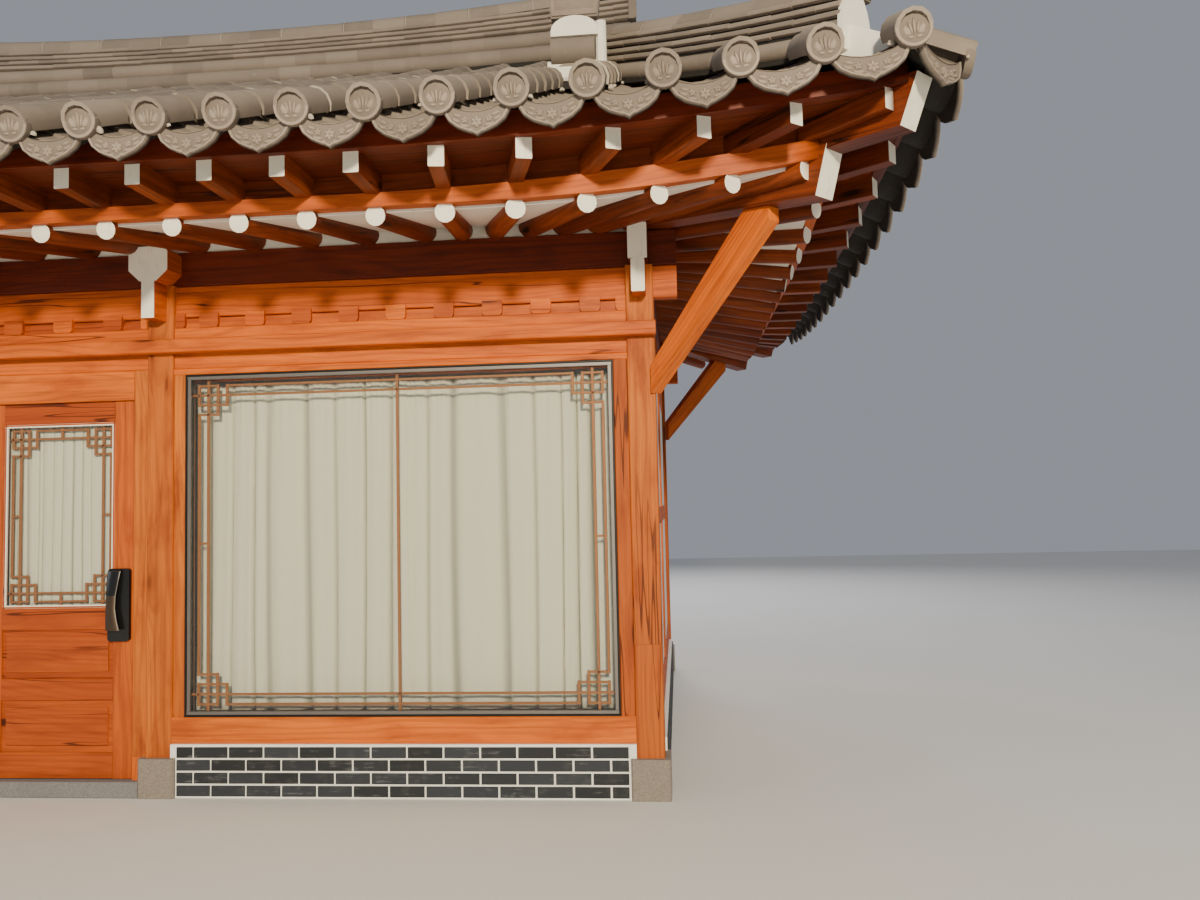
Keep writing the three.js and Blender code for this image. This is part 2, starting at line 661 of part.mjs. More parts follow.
function ridgeTop(x) {
  return RIDGE_TOP + RIDGE_LIFT * (Math.abs(x) / VERGE_X) ** 2.2;
}

// A body through stations; each station is a closed outline of the same number of points
function loft(stations) {
  const count = stations[0].length;
  const positions = stations.flat(2);
  const triangles = [];
  for (let k = 0; k + 1 < stations.length; k++) {
    for (let i = 0; i < count; i++) {
      const a = k * count + i;
      const b = k * count + ((i + 1) % count);
      triangles.push(a, b, b + count, a, b + count, a + count);
    }
  }
  const last = (stations.length - 1) * count;
  const foot = Math.floor(count / 2);
  for (let i = 0; i + 1 < foot; i++) {
    const pair = [i, i + 1, count - 2 - i, count - 1 - i];
    triangles.push(pair[0], pair[2], pair[1], pair[0], pair[3], pair[2]);
    triangles.push(last + pair[0], last + pair[1], last + pair[2], last + pair[0], last + pair[2], last + pair[3]);
  }
  return solidFrom(positions, triangles);
}

// Section of a ridge: straight sides, a shoulder and a rounded cap
function ridgeSection(half, bottom, top) {
  const side = [[half, bottom], [half, top - 95], [half * 0.7, top - 70], [half * 0.62, top - 25], [half * 0.2, top]];
  const mirrored = side.map(([a, z]) => [-a, z]).reverse();
  return [...side, ...mirrored];
}

function plate(width, thickness, bottom, top) {
  const half = width / 2;
  const outline = [[-half, bottom], [half, bottom], [half * 0.95, top - 90], [half * 0.5, top - 12], [0, top],
    [-half * 0.5, top - 12], [-half * 0.95, top - 90]];
  return prism(outline, "xz", -thickness / 2, thickness / 2);
}

function mainRidge(grow) {
  const stations = [];
  for (let k = 0; k <= RIDGE_STEPS; k++) {
    const x = -RIDGE_END + (2 * RIDGE_END * k) / RIDGE_STEPS;
    const bottom = bedHeight(EAVE_Y - RIDGE_HALF, EAVE_X - Math.abs(x)) + PAN_ABOVE_BED - RIDGE_SINK;
    stations.push(ridgeSection(RIDGE_HALF + grow, bottom, ridgeTop(x)).map(([y, z]) => [x, y, z]));
  }
  const end = ridgeTop(RIDGE_END);
  const ends = [-1, 1].map((side) => plate(260, 45, end - 330, end + 130)
    .rotate([0, 0, 90]).translate([side * (RIDGE_END + 10), 0, 0]));
  return join([loft(stations), ...ends]);
}

// The ends of the ridge pass over the barge boards, and it stays out of the joint between the two slopes
const overBarge = bedHeight(EAVE_Y, EAVE_X - GABLE_INNER) + BARGE_TOP + GAP;
const ridgeSeats = [[-RIDGE_END - 50, -VERGE_X], [VERGE_X, RIDGE_END + 50]]
  .map(([x0, x1]) => box(x0, x1, -2 * RIDGE_HALF, 2 * RIDGE_HALF, GABLE_FOOT, overBarge));
const slopeJoint = box(-RIDGE_END, RIDGE_END, -1, 1, GABLE_FOOT, bedHeight(EAVE_Y, EAVE_X) + PAN_ABOVE_BED);
add("main_ridge", "tile", cut(mainRidge(0), belowTiles, slopeJoint, ...ridgeSeats));

// Descending ridge down the verge, and the hip ridge that leaves its side for the corner

const DESCENT_X = HALF_LENGTH - 300;
const DESCENT_FOOT = HALF_DEPTH + 250;
const DESCENT_HEIGHT = 330;
const HIP_HALF = 100;
const HIP_HEIGHT = 270;
const HIP_SINK = 75;
const HIP_START = -260;
const HIP_END = 1000;

function descendingRidge(grow) {
  const stations = [];
  const places = [RIDGE_HALF + GAP - grow, 618, 1168, 1708, DESCENT_FOOT + grow];
  for (const y of places) {
    const bed = bedHeight(EAVE_Y - y, EAVE_X - DESCENT_X);
    stations.push(ridgeSection(RIDGE_HALF + grow, bed + PAN_ABOVE_BED - RIDGE_SINK, bed + TILE_ABOVE_BED + DESCENT_HEIGHT)
      .map(([a, z]) => [DESCENT_X + a, -y, z]));
  }
  const foot = bedHeight(EAVE_Y - DESCENT_FOOT, EAVE_X - DESCENT_X) + TILE_ABOVE_BED;
  const face = plate(280, 45, foot + 210, foot + 600).translate([DESCENT_X, -DESCENT_FOOT - 5, 0]);
  return [loft(stations), face];
}

function hipRidge(grow) {
  const stations = [];
  const places = [HIP_START, 80, 390, 700, HIP_END + grow];
  const across = Math.SQRT1_2;
  for (const d of places) {
    const bed = bedHeight(EAVE - d, EAVE - d);
    stations.push(ridgeSection(HIP_HALF + grow, bed + PAN_ABOVE_BED - HIP_SINK, bed + TILE_ABOVE_BED + HIP_HEIGHT)
      .map(([a, z]) => [HALF_LENGTH + d + a * across, -HALF_DEPTH - d + a * across, z]));
  }
  const foot = bedHeight(EAVE - HIP_END, EAVE - HIP_END) + TILE_ABOVE_BED;
  const face = plate(250, 45, foot + 190, foot + 460).rotate([0, 0, 45])
    .translate([HALF_LENGTH + HIP_END + 3, -HALF_DEPTH - HIP_END - 3, 0]);
  return [loft(stations), face];
}

const CORNERS = {
  front_right: [1, 1],
  front_left: [-1, 1],
  rear_right: [1, -1],
  rear_left: [-1, -1],
};

function atCorner(solid, [sideX, sideY]) {
  let placed = solid;
  if (sideX < 0) placed = placed.mirror([1, 0, 0]);
  if (sideY < 0) placed = placed.mirror([0, 1, 0]);
  return placed;
}

const cornerRidge = (grow) => join([...descendingRidge(grow), ...hipRidge(grow)]);
for (const [name, signs] of Object.entries(CORNERS)) {
  add(`ridge_${name}`, "tile", cut(atCorner(cornerRidge(0), signs), belowTiles));
}

// Rolls: the rows of cover tiles stand on the pans and stop at the hips, the gables and the ridges

const ROLL_ENDS = [250, 590];
const ROLL_FIRST = 918;
const ROLL_PITCH = 306;
const ROLL_FOOT = 76;
const ROLL_CREST = 48;
const ROLL_TOP = 165;
const ROLL_SINK = 12;
const ROLL_SPAN = 1100;
const ROLL_SHORT_OF_GABLE = 50;

function rollPlaces(along) {
  const first = along - ROLL_FIRST;
  const count = Math.round((2 * first) / ROLL_PITCH);
  const even = Array.from({ length: count + 1 }, (unused, i) => -first + (2 * first * i) / count);
  const ends = ROLL_ENDS.map((fromCorner) => along - fromCorner);
  return [...ends.map((x) => -x), ...even, ...ends];
}

function rollReach(along, x) {
  const hip = along - Math.abs(x) + ROLL_FOOT;
  if (along === EAVE_X) return Math.abs(x) < VERGE_X ? EAVE_Y : hip;
  return Math.min(hip, VERGE_INWARD - ROLL_SHORT_OF_GABLE);
}

function roll(along, out, x) {
  const reach = rollReach(along, x);
  const steps = Math.ceil(reach / ROLL_SPAN);
  const outline = [[-ROLL_FOOT, -ROLL_SINK], [ROLL_FOOT, -ROLL_SINK],
    [ROLL_CREST, ROLL_TOP - PAN_ABOVE_BED], [-ROLL_CREST, ROLL_TOP - PAN_ABOVE_BED]];
  const stations = [];
  for (let k = steps; k >= 0; k--) {
    const inward = (reach * k) / steps;
    stations.push(outline.map(([a, rise]) =>
      [x + a, -out + inward, bedHeight(inward, along - Math.abs(x + a)) + PAN_ABOVE_BED + rise]));
  }
  return loft(stations);
}

const ridgeTools = [mainRidge(GAP), ...Object.values(CORNERS).map((signs) => atCorner(cornerRidge(GAP), signs))];
const slopes = fourSlopes(PAN_ABOVE_BED, -DECK_BELOW_BED, -GAP / 2);
const overSlopes = fourSlopes(ROLL_TOP + PAN_ABOVE_BED, -DECK_BELOW_BED, -GAP / 2);

for (const [name, turn] of Object.entries(TURNS)) {
  const [along, out] = name === "front" || name === "rear" ? [EAVE_X, EAVE_Y] : [EAVE_Y, EAVE_X];
  const rolls = join(rollPlaces(along).map((x) => roll(along, out, x))).rotate([0, 0, turn]);
  add(`${name}_roof`, "tile", join([slopes[name], cut(rolls.intersect(overSlopes[name]), ...ridgeTools)]));
}

// Hip rafters: a lower and an upper timber on the diagonal, with the corner block under the tiles

const HIP_RAFTER_WIDTH = 125;
const UPPER_HIP_WIDTH = 115;
const HIP_SEAT = 96.5;
const HIP_FALL = 0.184;

// Outline in the diagonal plane: distance from the corner post along one wall, and height
function diagonalPrism(outline, width) {
  const points = outline.map(([d, z]) => [d * Math.SQRT2, z]);
  return prism(points, "xz", -width / 2, width / 2)
    .rotate([0, 0, -45])
    .translate([HALF_LENGTH, -HALF_DEPTH, 0]);
}

function hipUnderside(d) {
  return PURLIN_TOP + GAP + HIP_FALL * (HIP_SEAT - d);
}

function hipRafter() {
  const lowerTop = (d) => 3125 + HIP_FALL * (918 - d);
  const lower = diagonalPrism([
    [-250, hipUnderside(-250)], [870, hipUnderside(870)], [918, 3125], [-250, lowerTop(-250)],
  ], HIP_RAFTER_WIDTH);
  const upper = diagonalPrism([
    [300, lowerTop(300) - 20], [918, 3105], [1185, 3106], [1228, 3290], [700, 3345], [300, 3400],
  ], UPPER_HIP_WIDTH);
  const block = diagonalPrism([[1140, 3250], [1232, 3270], [1244, 3420], [1140, 3420]], UPPER_HIP_WIDTH);
  return join([lower, upper, block]);
}

const hipRafterSolid = hipRafter();
for (const [name, signs] of Object.entries(CORNERS)) {
  add(`hip_rafter_${name}`, "dark_pine", cut(atCorner(hipRafterSolid, signs), aboveDeck));
}

// Brace from the corner post up to the hip rafter

const BRACE_WIDTH = 75;

function brace() {
  const solid = diagonalPrism([
    [25, 2085], [668, 2880], [668, hipUnderside(668) - GAP], [560, hipUnderside(560) - GAP], [25, 2235],
  ], BRACE_WIDTH);
  const corner = box(HALF_LENGTH - HALF_POST, HALF_LENGTH + HALF_POST + GAP,
    -HALF_DEPTH - HALF_POST - GAP, -HALF_DEPTH + HALF_POST, 0, PURLIN_TOP);
  return cut(solid, corner);
}
const braceSolid = brace();
for (const [name, signs] of Object.entries(CORNERS)) add(`brace_${name}`, "pine", atCorner(braceSolid, signs));

// Eaves: round rafters that fan out to the corner, plaster between them, and flying rafters above

const RAFTER_OUT = 900;
const RAFTER_PITCH = 324;
const RAFTER_FIRST = 105;
const RAFTER_TIP_RADIUS = 47.5;
const RAFTER_WALL_RADIUS = 60;
const RAFTER_TIP = 2925;
const RAFTER_LIFT = 125;
const RAFTER_LIFT_LENGTH = 1600;
const FAN_LENGTH = 2050;
const FLYING_OUT = 1215;
const FLYING_TOP = 3114;
const FLYING_LIFT = 150;
const FLYING_LIFT_LENGTH = 2200;
const FLYING_WIDTH = 70;
const FLYING_DEPTH = 100;
const FASCIA_OUT = 1250;
const SOFFIT_LOW = 14;
const SOFFIT_HIGH = 62;
const WALL_STRIP = 75;

function rafterPlaces(half) {
  const first = half + RAFTER_OUT - RAFTER_FIRST;
  const count = Math.round((2 * first) / RAFTER_PITCH);
  return Array.from({ length: count + 1 }, (unused, i) => -first + (2 * first * i) / count);
}

// One rafter line: how far it leans to the corner, and its heights
function rafterLine(half, x) {
  const fromCorner = half + RAFTER_OUT - Math.abs(x);
  const lean = Math.max(0, 1 - fromCorner / FAN_LENGTH) * Math.sign(x);
  const tip = RAFTER_TIP + RAFTER_LIFT * Math.max(0, 1 - fromCorner / RAFTER_LIFT_LENGTH) ** 2;
  const flying = FLYING_TOP + FLYING_LIFT * Math.max(0, 1 - fromCorner / FLYING_LIFT_LENGTH) ** 2;
  const seat = PURLIN_TOP + RAFTER_WALL_RADIUS;
  const at = (out) => x + lean * (out - RAFTER_OUT);
  const centre = (out) => seat + ((tip - seat) * out) / RAFTER_OUT;
  return { at, tip, flying, centre };
}

// The boards of the eave in section: plaster soffit, eave board, filler, top board and fascia
function eaveSection({ tip, flying, centre }) {
  const board = 35;
  return [
    [0, centre(0) + SOFFIT_LOW],
    [RAFTER_OUT - 28, centre(RAFTER_OUT - 28) + SOFFIT_LOW],
    [RAFTER_OUT - 27, tip + board],
    [RAFTER_OUT + 35, tip + board],
    [RAFTER_OUT + 35, flying - FLYING_DEPTH + 4],
    [RAFTER_OUT + 5, flying - FLYING_DEPTH + 5],
    [RAFTER_OUT + 4, flying],
    [FLYING_OUT - 25, flying],
    [FLYING_OUT - 25, flying - 8],
    [FASCIA_OUT, flying - 8],
    [FASCIA_OUT, flying + 190],
    [FLYING_OUT - 20, flying + 190],
    [FLYING_OUT - 21, flying + 20],
    [RAFTER_OUT - 30, flying + 20],
    [RAFTER_OUT - 31, centre(RAFTER_OUT - 31) + SOFFIT_HIGH],
    [0, centre(0) + SOFFIT_HIGH],
  ];
}

function eaveBoards(half, depth) {
  const end = half + RAFTER_OUT;
  const places = [0, 660, 1320, 1980].map((fromCorner) => end - fromCorner);
  const columns = [...places.map((x) => -x), ...places.reverse()];
  const lines = columns.map((x) => rafterLine(half, x));
  const sections = lines.map(eaveSection);
  const count = sections[0].length;
  const points = sections.flatMap((section, k) => section.map(([out, z]) => [lines[k].at(out), -depth - out, z]));
  const triangles = [];
  for (let k = 0; k + 1 < sections.length; k++) {
    for (let i = 0; i < count; i++) {
      const a = k * count + i;
      const b = k * count + ((i + 1) % count);
      triangles.push(b, a, a + count, b, a + count, b + count);
    }
  }
  const cap = THREE.ShapeUtils.triangulateShape(sections[0].map(([out, z]) => new THREE.Vector2(out, z)), []);
  const last = (sections.length - 1) * count;
  for (const [a, b, c] of cap) triangles.push(a, b, c, last + c, last + b, last + a);
  return solidFrom(points.flat(), triangles);
}

// A rafter is round below; its flat top is buried in the plaster
function roundRafter(tip, seat) {
  const outline = [[-0.8, 0.8], [-1, 0], [-0.5, -0.87], [0.5, -0.87], [1, 0], [0.8, 0.8]];
  const along = axis(...seat).sub(axis(...tip)).normalize();
  const across = along.clone().cross(axis(0, 0, 1)).normalize();
  const up = across.clone().cross(along);
  const station = ([x, y, z], radius) => outline.map(([a, b]) => axis(x, y, z)
    .addScaledVector(across, a * radius).addScaledVector(up, b * radius).toArray());
  return loft([station(seat, RAFTER_WALL_RADIUS), station(tip, RAFTER_TIP_RADIUS)]);
}

function flyingRafter(line, depth) {
  const outs = [FLYING_OUT, RAFTER_OUT - 12];
  const point = (height) => (i, j) => [line.at(outs[j]) + (i - 0.5) * FLYING_WIDTH, -depth - outs[j], height];
  return sheet(1, 1, point(line.flying + 10), point(line.flying - FLYING_DEPTH));
}

function eaveSide(half, depth) {
  const parts = [eaveBoards(half, depth)];
  for (const x of rafterPlaces(half)) {
    const line = rafterLine(half, x);
    const tip = [line.at(RAFTER_OUT), -depth - RAFTER_OUT, line.tip];
    const seat = [line.at(0), -depth, line.centre(0)];
    parts.push(roundRafter(tip, seat));
    parts.push(flyingRafter(line, depth));
  }
  const wall = WALL_STRIP / 2;
  parts.push(box(-half - wall, half + wall, -depth - wall, -depth + wall, PURLIN_TOP, 4000));
  return join(parts);
}

// The eave of one side ends at the hip rafters
function eaveRegion(half, depth) {
  const clear = (HIP_RAFTER_WIDTH / 2 + GAP) * Math.SQRT1_2;
  const near = [half - 80 - clear, -depth + 80 - clear];
  const far = [half + 1500 - clear, -depth - 1500 - clear];
  return prism([near, [-near[0], near[1]], [-far[0], far[1]], far].reverse(), "xy", 2700, 4100);
}

for (const [name, turn] of Object.entries(TURNS)) {
  const alongX = name === "front" || name === "rear";
  const [half, depth] = alongX ? [HALF_LENGTH, HALF_DEPTH] : [HALF_DEPTH, HALF_LENGTH];
  const eave = eaveSide(half, depth).intersect(eaveRegion(half, depth)).rotate([0, 0, turn]);
  add(`${name}_rafters`, "dark_pine", cut(eave, aboveDeck, ...purlinRing(GAP), ...beamHeads));
}

export default house;
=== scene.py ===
"""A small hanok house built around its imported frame. Run as a script."""

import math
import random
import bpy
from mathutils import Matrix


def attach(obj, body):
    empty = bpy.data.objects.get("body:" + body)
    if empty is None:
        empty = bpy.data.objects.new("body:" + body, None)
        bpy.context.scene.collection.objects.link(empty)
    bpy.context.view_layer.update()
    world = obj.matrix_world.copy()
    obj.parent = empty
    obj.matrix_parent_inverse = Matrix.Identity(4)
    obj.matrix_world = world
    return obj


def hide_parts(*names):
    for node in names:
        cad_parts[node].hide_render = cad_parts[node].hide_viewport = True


bl_info = {
    "name": "Hanok House",
    "version": (1, 0, 0),
    "blender": (4, 5, 0),
    "location": "View3D > Sidebar > Hanok",
    "description": "Builds a small Korean timber house with a tiled hip-and-gable roof",
    "category": "Add Mesh",
}

import bmesh
import bpy
from mathutils import Matrix, Vector

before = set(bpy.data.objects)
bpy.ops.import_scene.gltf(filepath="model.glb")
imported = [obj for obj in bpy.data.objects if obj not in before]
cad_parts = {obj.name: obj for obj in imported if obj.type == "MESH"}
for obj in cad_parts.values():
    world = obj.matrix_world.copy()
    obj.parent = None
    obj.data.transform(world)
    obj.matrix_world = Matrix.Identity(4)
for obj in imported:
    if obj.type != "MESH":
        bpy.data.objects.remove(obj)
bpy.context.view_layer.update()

# Plan and heights in metres, as in the solids
HALF_LENGTH = 3.333
HALF_DEPTH = 1.818
DOOR_POST_X = 0.606
HALF_POST = 0.075
POST_X = (-HALF_LENGTH, -DOOR_POST_X, DOOR_POST_X, HALF_LENGTH)
BAYS = tuple(zip(POST_X, POST_X[1:]))
STONE_HALF = 0.105
STEP_TOP = 0.088
STONE_TOP = 0.215
PLINTH_TOP = 0.289
FLOOR_TOP = 0.420
SILL_TOP = 0.432
WINDOW_TOP = 2.345
LINTEL_BOTTOM = 2.380
RAIL_BOTTOM = 2.465
RAIL_TOP = 2.540
LINTEL_TOP = 2.617
BLOCK_BOTTOM = 2.650
BEARER_BOTTOM = 2.681
PURLIN_BOTTOM = 2.858
PURLIN_TOP = 3.052
CROSSING_END = 0.205
BEAM_END = 0.200

# Roof
EAVE = 1.400
EAVE_X = HALF_LENGTH + EAVE
EAVE_Y = HALF_DEPTH + EAVE
VERGE_IN = 1.510
VERGE_X = EAVE_X - VERGE_IN
RIDGE_HALF = 0.110
BED_EAVE = 3.133
BED_SLOPE = 0.49
BED_CURVE = 0.01
CORNER_LIFT = 0.195
LIFT_RUN = 2.8
LIFT_FADE = 3.2

# Directions and corners
ACROSS = (1, 0, 0)
INWARD = (0, 1, 0)
UP = Vector((0, 0, 1))
TURNS = {"front": 0, "right": 90, "rear": 180, "left": 270}
CORNERS = {"front_right": (1, 1), "front_left": (-1, 1), "rear_right": (1, -1), "rear_left": (-1, -1)}
SIDES = (("left", -1), ("right", 1))


def bed_height(inward, from_corner):
    """Height of the hollow of the pan tiles, which lifts to the corners of the eaves."""
    lift = CORNER_LIFT * max(0, 1 - from_corner / LIFT_RUN) ** 2
    return BED_EAVE + BED_SLOPE * inward + BED_CURVE * inward ** 2 + lift * (1 - inward / LIFT_FADE)


def shares(count):
    """Even steps from 0 to 1."""
    return [i / count for i in range(count + 1)]


def spread(reach, count):
    """Even steps from -reach to reach."""
    return [reach * (2 * share - 1) for share in shares(count)]


def span(side, near, far):
    """Two distances from the middle as a run on one side of the house, lowest first."""
    return sorted((side * near, side * far))


def mirrored(side):
    """The other side of an outline of (x, z), from its far end back."""
    return [(-x, z) for x, z in reversed(side)]


def pairs(ring):
    """Each point of a closed ring with the next one."""
    return zip(ring, ring[1:] + ring[:1])


def arc(steps, start, end, width, tall=None):
    """Points of a round or squashed arc between two angles."""
    tall = width if tall is None else tall
    angles = [start + (end - start) * share for share in shares(steps)]
    return [(width * math.cos(angle), tall * math.sin(angle)) for angle in angles]


def circle(sides, width, tall=None):
    """Points of a circle or an ellipse, from its right round to its right again."""
    return arc(sides, 0, 2 * math.pi, width, tall)[:-1]


# Shader maths


class Link:
    """An output of a shader tree that can stand in an expression."""

    def __init__(self, shader, socket):
        self.shader = shader
        self.socket = socket

    def __add__(self, other):
        return self.shader.maths("ADD", self, other)

    __radd__ = __add__

    def __sub__(self, other):
        return self.shader.maths("SUBTRACT", self, other)

    def __rsub__(self, other):
        return self.shader.maths("SUBTRACT", other, self)

    def __mul__(self, other):
        return self.shader.maths("MULTIPLY", self, other)

    __rmul__ = __mul__


class Shader:
    """A material under construction."""

    def __init__(self, name):
        self.material = bpy.data.materials.new(name)
        self.material.use_nodes = True
        self.tree = self.material.node_tree
        self.tree.nodes.clear()

    def feed(self, socket, value):
        if isinstance(value, Link):
            self.tree.links.new(value.socket, socket)
        else:
            socket.default_value = value

    def add(self, kind, inputs=None, output=0, **settings):
        """Adds a node: its settings first, then the values or links of its sockets."""
        node = self.tree.nodes.new(kind)
        for key, value in settings.items():
            setattr(node, key, value)
        for key, value in (inputs or {}).items():
            self.feed(node.inputs[key], value)
        return Link(self, node.outputs[output]) if node.outputs else None

    def maths(self, operation, first, second=0.0):
        return self.add("ShaderNodeMath", {0: first, 1: second}, operation=operation)

    def place(self, vector, scale):
        return self.add("ShaderNodeMapping", {"Vector": vector, "Scale": scale})

    def grain(self):
        return self.add("ShaderNodeTexCoord", output="UV")

    def space(self):
        return self.add("ShaderNodeTexCoord", output="Object")

    def attribute(self, name):
        """A number that the mesh carries: the tone of a repeated piece, or painted shade in hollows, on backs
        and in curtain creases.
        """
        return self.add("ShaderNodeAttribute", output="Fac", attribute_name=name)

    def noise(self, vector, scale, detail=4.0, roughness=0.55):
        inputs = {"Vector": vector, "Scale": scale, "Detail": detail, "Roughness": roughness}
        return self.add("ShaderNodeTexNoise", inputs)

    def cells(self, vector, scale, output="Distance"):
        return self.add("ShaderNodeTexVoronoi", {"Vector": vector, "Scale": scale}, output)

    def step(self, value, low, high):
        """A smooth step: 0 below low, 1 above high, or the other way round."""
        return self.add(
            "ShaderNodeMapRange",
            {"Value": value, "From Min": low, "From Max": high, "To Min": 0.0, "To Max": 1.0},
            interpolation_type="SMOOTHSTEP",
        )

    def mix(self, factor, first, second, blend="MIX"):
        """Mixes two colours, each a shade of three values or a link."""
        first, second = ((*shade, 1) if isinstance(shade, tuple) else shade for shade in (first, second))
        inputs = {0: factor, 6: first, 7: second}
        return self.add("ShaderNodeMix", inputs, 2, data_type="RGBA", blend_type=blend)

    def stain(self, base, *coats):
        """Lays on coats of (pattern, low, high, share, shade), each where its pattern passes low to high."""
        for pattern, low, high, share, shade in coats:
            base = self.mix(self.step(pattern, low, high) * share, base, shade)
        return base

    def finish(self, base, roughness, height=None, depth=0.002, strength=1.0, **sockets):
        inputs = {"Base Color": base, "Roughness": roughness}
        inputs.update({key.replace("_", " "): value for key, value in sockets.items()})
        if height is not None:
            bump = {"Height": height, "Distance": depth, "Strength": strength}
            inputs["Normal"] = self.add("ShaderNodeBump", bump)
        surface = self.add("ShaderNodeBsdfPrincipled", inputs)
        self.add("ShaderNodeOutputMaterial", {"Surface": surface})
        return self.material


def dimmed(shade, share):
    return tuple(channel * share for channel in shade)


# Finishes


def stained_pine(name, pale, warm, dark, gloss, blotches=0.35):
    """Oiled pine: flat-sawn figure, fine fibres, knots and drying cracks along the grain map."""
    s = Shader(name)
    grain = s.grain()
    across = s.add("ShaderNodeSeparateXYZ", {0: grain}, output=1)
    lot = s.noise(s.place(grain, (0.12, 0.8, 1)), 1.0, 1.0)
    sway = s.noise(s.place(grain, (0.5, 2.6, 1)), 1.0, 2.0)
    blotch = s.noise(s.place(grain, (2.4, 7.0, 1)), 1.0, 4.0, 0.6)
    streak = s.noise(s.place(grain, (0.9, 26, 1)), 1.0, 3.0)
    thread = s.noise(s.place(grain, (1.6, 95, 1)), 1.0, 3.0, 0.6)
    fibre = s.noise(s.place(grain, (4.5, 210, 1)), 1.0, 4.0, 0.65)
    knot_field = s.place(grain, (1.3, 4.6, 1))
    knot_far = s.cells(knot_field, 1.0)
    knot_pick = s.step(s.cells(knot_field, 1.0, "Color"), 0.54, 0.58)
    knot = s.step(knot_far, 0.13, 0.06) * knot_pick
    halo = s.step(knot_far, 0.42, 0.05) * knot_pick
    rings = s.maths("SINE", (across * 26 + sway * 11 + halo * 1.7) * 6.2832) * 0.5 + 0.5
    seam = s.noise(s.place(grain, (0.35, 9.0, 1)), 1.0, 2.0)
    crack = s.step(s.maths("ABSOLUTE", seam - 0.5), 0.010, 0.003) * s.step(lot, 0.50, 0.56)
    base = s.mix(s.step(lot, 0.30, 0.70), pale, warm)
    base = s.stain(base, (blotch, 0.40, 0.70, 0.75, warm), (blotch, 0.52, 0.80, blotches, dark),
                   (streak, 0.42, 0.80, 0.50, dark))
    base = s.mix(s.step(rings, 0.40, 1.0) * (0.08 + streak * 0.34), base, dark)
    base = s.stain(base, (thread, 0.48, 0.78, 0.38, dark), (fibre, 0.50, 0.85, 0.30, dark))
    base = s.mix(halo * 0.50, base, dark)
    base = s.mix(knot, base, dimmed(dark, 0.30))
    base = s.mix(crack * 0.85, base, dimmed(dark, 0.30))
    height = rings * 0.25 + fibre * 0.6 - knot * 0.5 - crack * 1.2
    roughness = gloss + fibre * 0.20 + blotch * 0.10
    return s.finish(base, roughness, height, 0.0014, 0.6, Specular_IOR_Level=0.30)


def end_paint(name, shade):
    s = Shader(name)
    space = s.space()
    age = s.noise(space, 14.0, 5.0, 0.6)
    crack = s.step(s.noise(s.place(space, (60, 60, 9)), 1.0, 3.0), 0.60, 0.72)
    base = s.stain(shade, (age, 0.5, 0.8, 0.35, (0.62, 0.55, 0.42)))
    base = s.mix(crack * 0.35, base, (0.45, 0.36, 0.26))
    return s.finish(base, 0.7, age * 0.6 - crack * 0.4, 0.0015, 0.5)


def lime_plaster(name, shade):
    s = Shader(name)
    space = s.space()
    cloud = s.noise(space, 1.7, 5.0, 0.6)
    trowel = s.noise(s.place(space, (6, 6, 14)), 1.0, 6.0, 0.65)
    base = s.stain(shade, (cloud, 0.42, 0.75, 0.45, dimmed(shade, 0.72)),
                   (trowel, 0.5, 0.9, 0.25, dimmed(shade, 0.85)))
    return s.finish(base, 0.9, trowel, 0.004, 0.5)


def clay_tile(name, shade, dust):
    """Fired clay with dust and lichen; painted shade at 1 darkens a hollow and at 2 blackens an unlit back.
    """
    s = Shader(name)
    space = s.space()
    blotch = s.noise(space, 5.5, 6.0, 0.62)
    speck = s.noise(space, 210.0, 3.0, 0.7)
    lichen = s.step(s.noise(space, 26.0, 5.0, 0.7), 0.62, 0.74)
    base = s.mix(s.attribute("tone"), dimmed(shade, 0.74), dimmed(shade, 1.18))
    base = s.stain(base, (blotch, 0.4, 0.75, 0.4, dust))
    base = s.mix(lichen * 0.22, base, (0.52, 0.47, 0.40))
    # Painted shade: hollows darkened and unlit backs blackened as if in shade
    dirt = s.attribute("dirt")
    base = s.stain(base, (dirt, 0.0, 1.0, 0.62, dimmed(shade, 0.42)),
                   (dirt, 1.1, 1.9, 0.95, (0.010, 0.008, 0.007)),
                   (speck, 0.55, 0.9, 0.35, dimmed(shade, 0.45)))
    return s.finish(base, 0.78 + blotch * 0.15, speck * 0.5 + blotch * 0.5, 0.002, 0.5)


def dark_brick(name, shade):
    s = Shader(name)
    space = s.space()
    pits = s.noise(space, 150.0, 4.0, 0.7)
    cloud = s.noise(space, 16.0, 4.0)
    base = s.mix(s.attribute("tone"), dimmed(shade, 0.6), dimmed(shade, 1.7))
    scuff = s.noise(s.place(space, (7, 7, 75)), 1.0, 5.0, 0.62)
    base = s.stain(base, (cloud, 0.5, 0.8, 0.3, (0.09, 0.09, 0.09)))
    base = s.mix(s.step(scuff, 0.54, 0.76) * s.step(cloud, 0.42, 0.60) * 0.55, base, (0.20, 0.21, 0.23))
    base = s.stain(base, (pits, 0.62, 0.8, 0.5, (0.008, 0.008, 0.008)))
    return s.finish(base, 0.72, pits, 0.002, 0.6)


def granite(name, shade):
    s = Shader(name)
    space = s.space()
    # A Math node turns the colours of the cells grey
    grit = s.cells(space, 210.0, "Color") * 1.0
    spots = s.step(s.noise(space, 240.0, 2.0, 0.6), 0.56, 0.68)
    cloud = s.noise(space, 3.5, 4.0)
    base = s.mix(0.35, shade, grit, "SOFT_LIGHT")
    base = s.mix(spots * 0.5, base, dimmed(shade, 0.3))
    base = s.stain(base, (cloud, 0.45, 0.8, 0.35, dimmed(shade, 0.62)))
    chisel = s.noise(space, 55.0, 6.0, 0.7)
    return s.finish(base, 0.85, chisel, 0.004, 0.8)


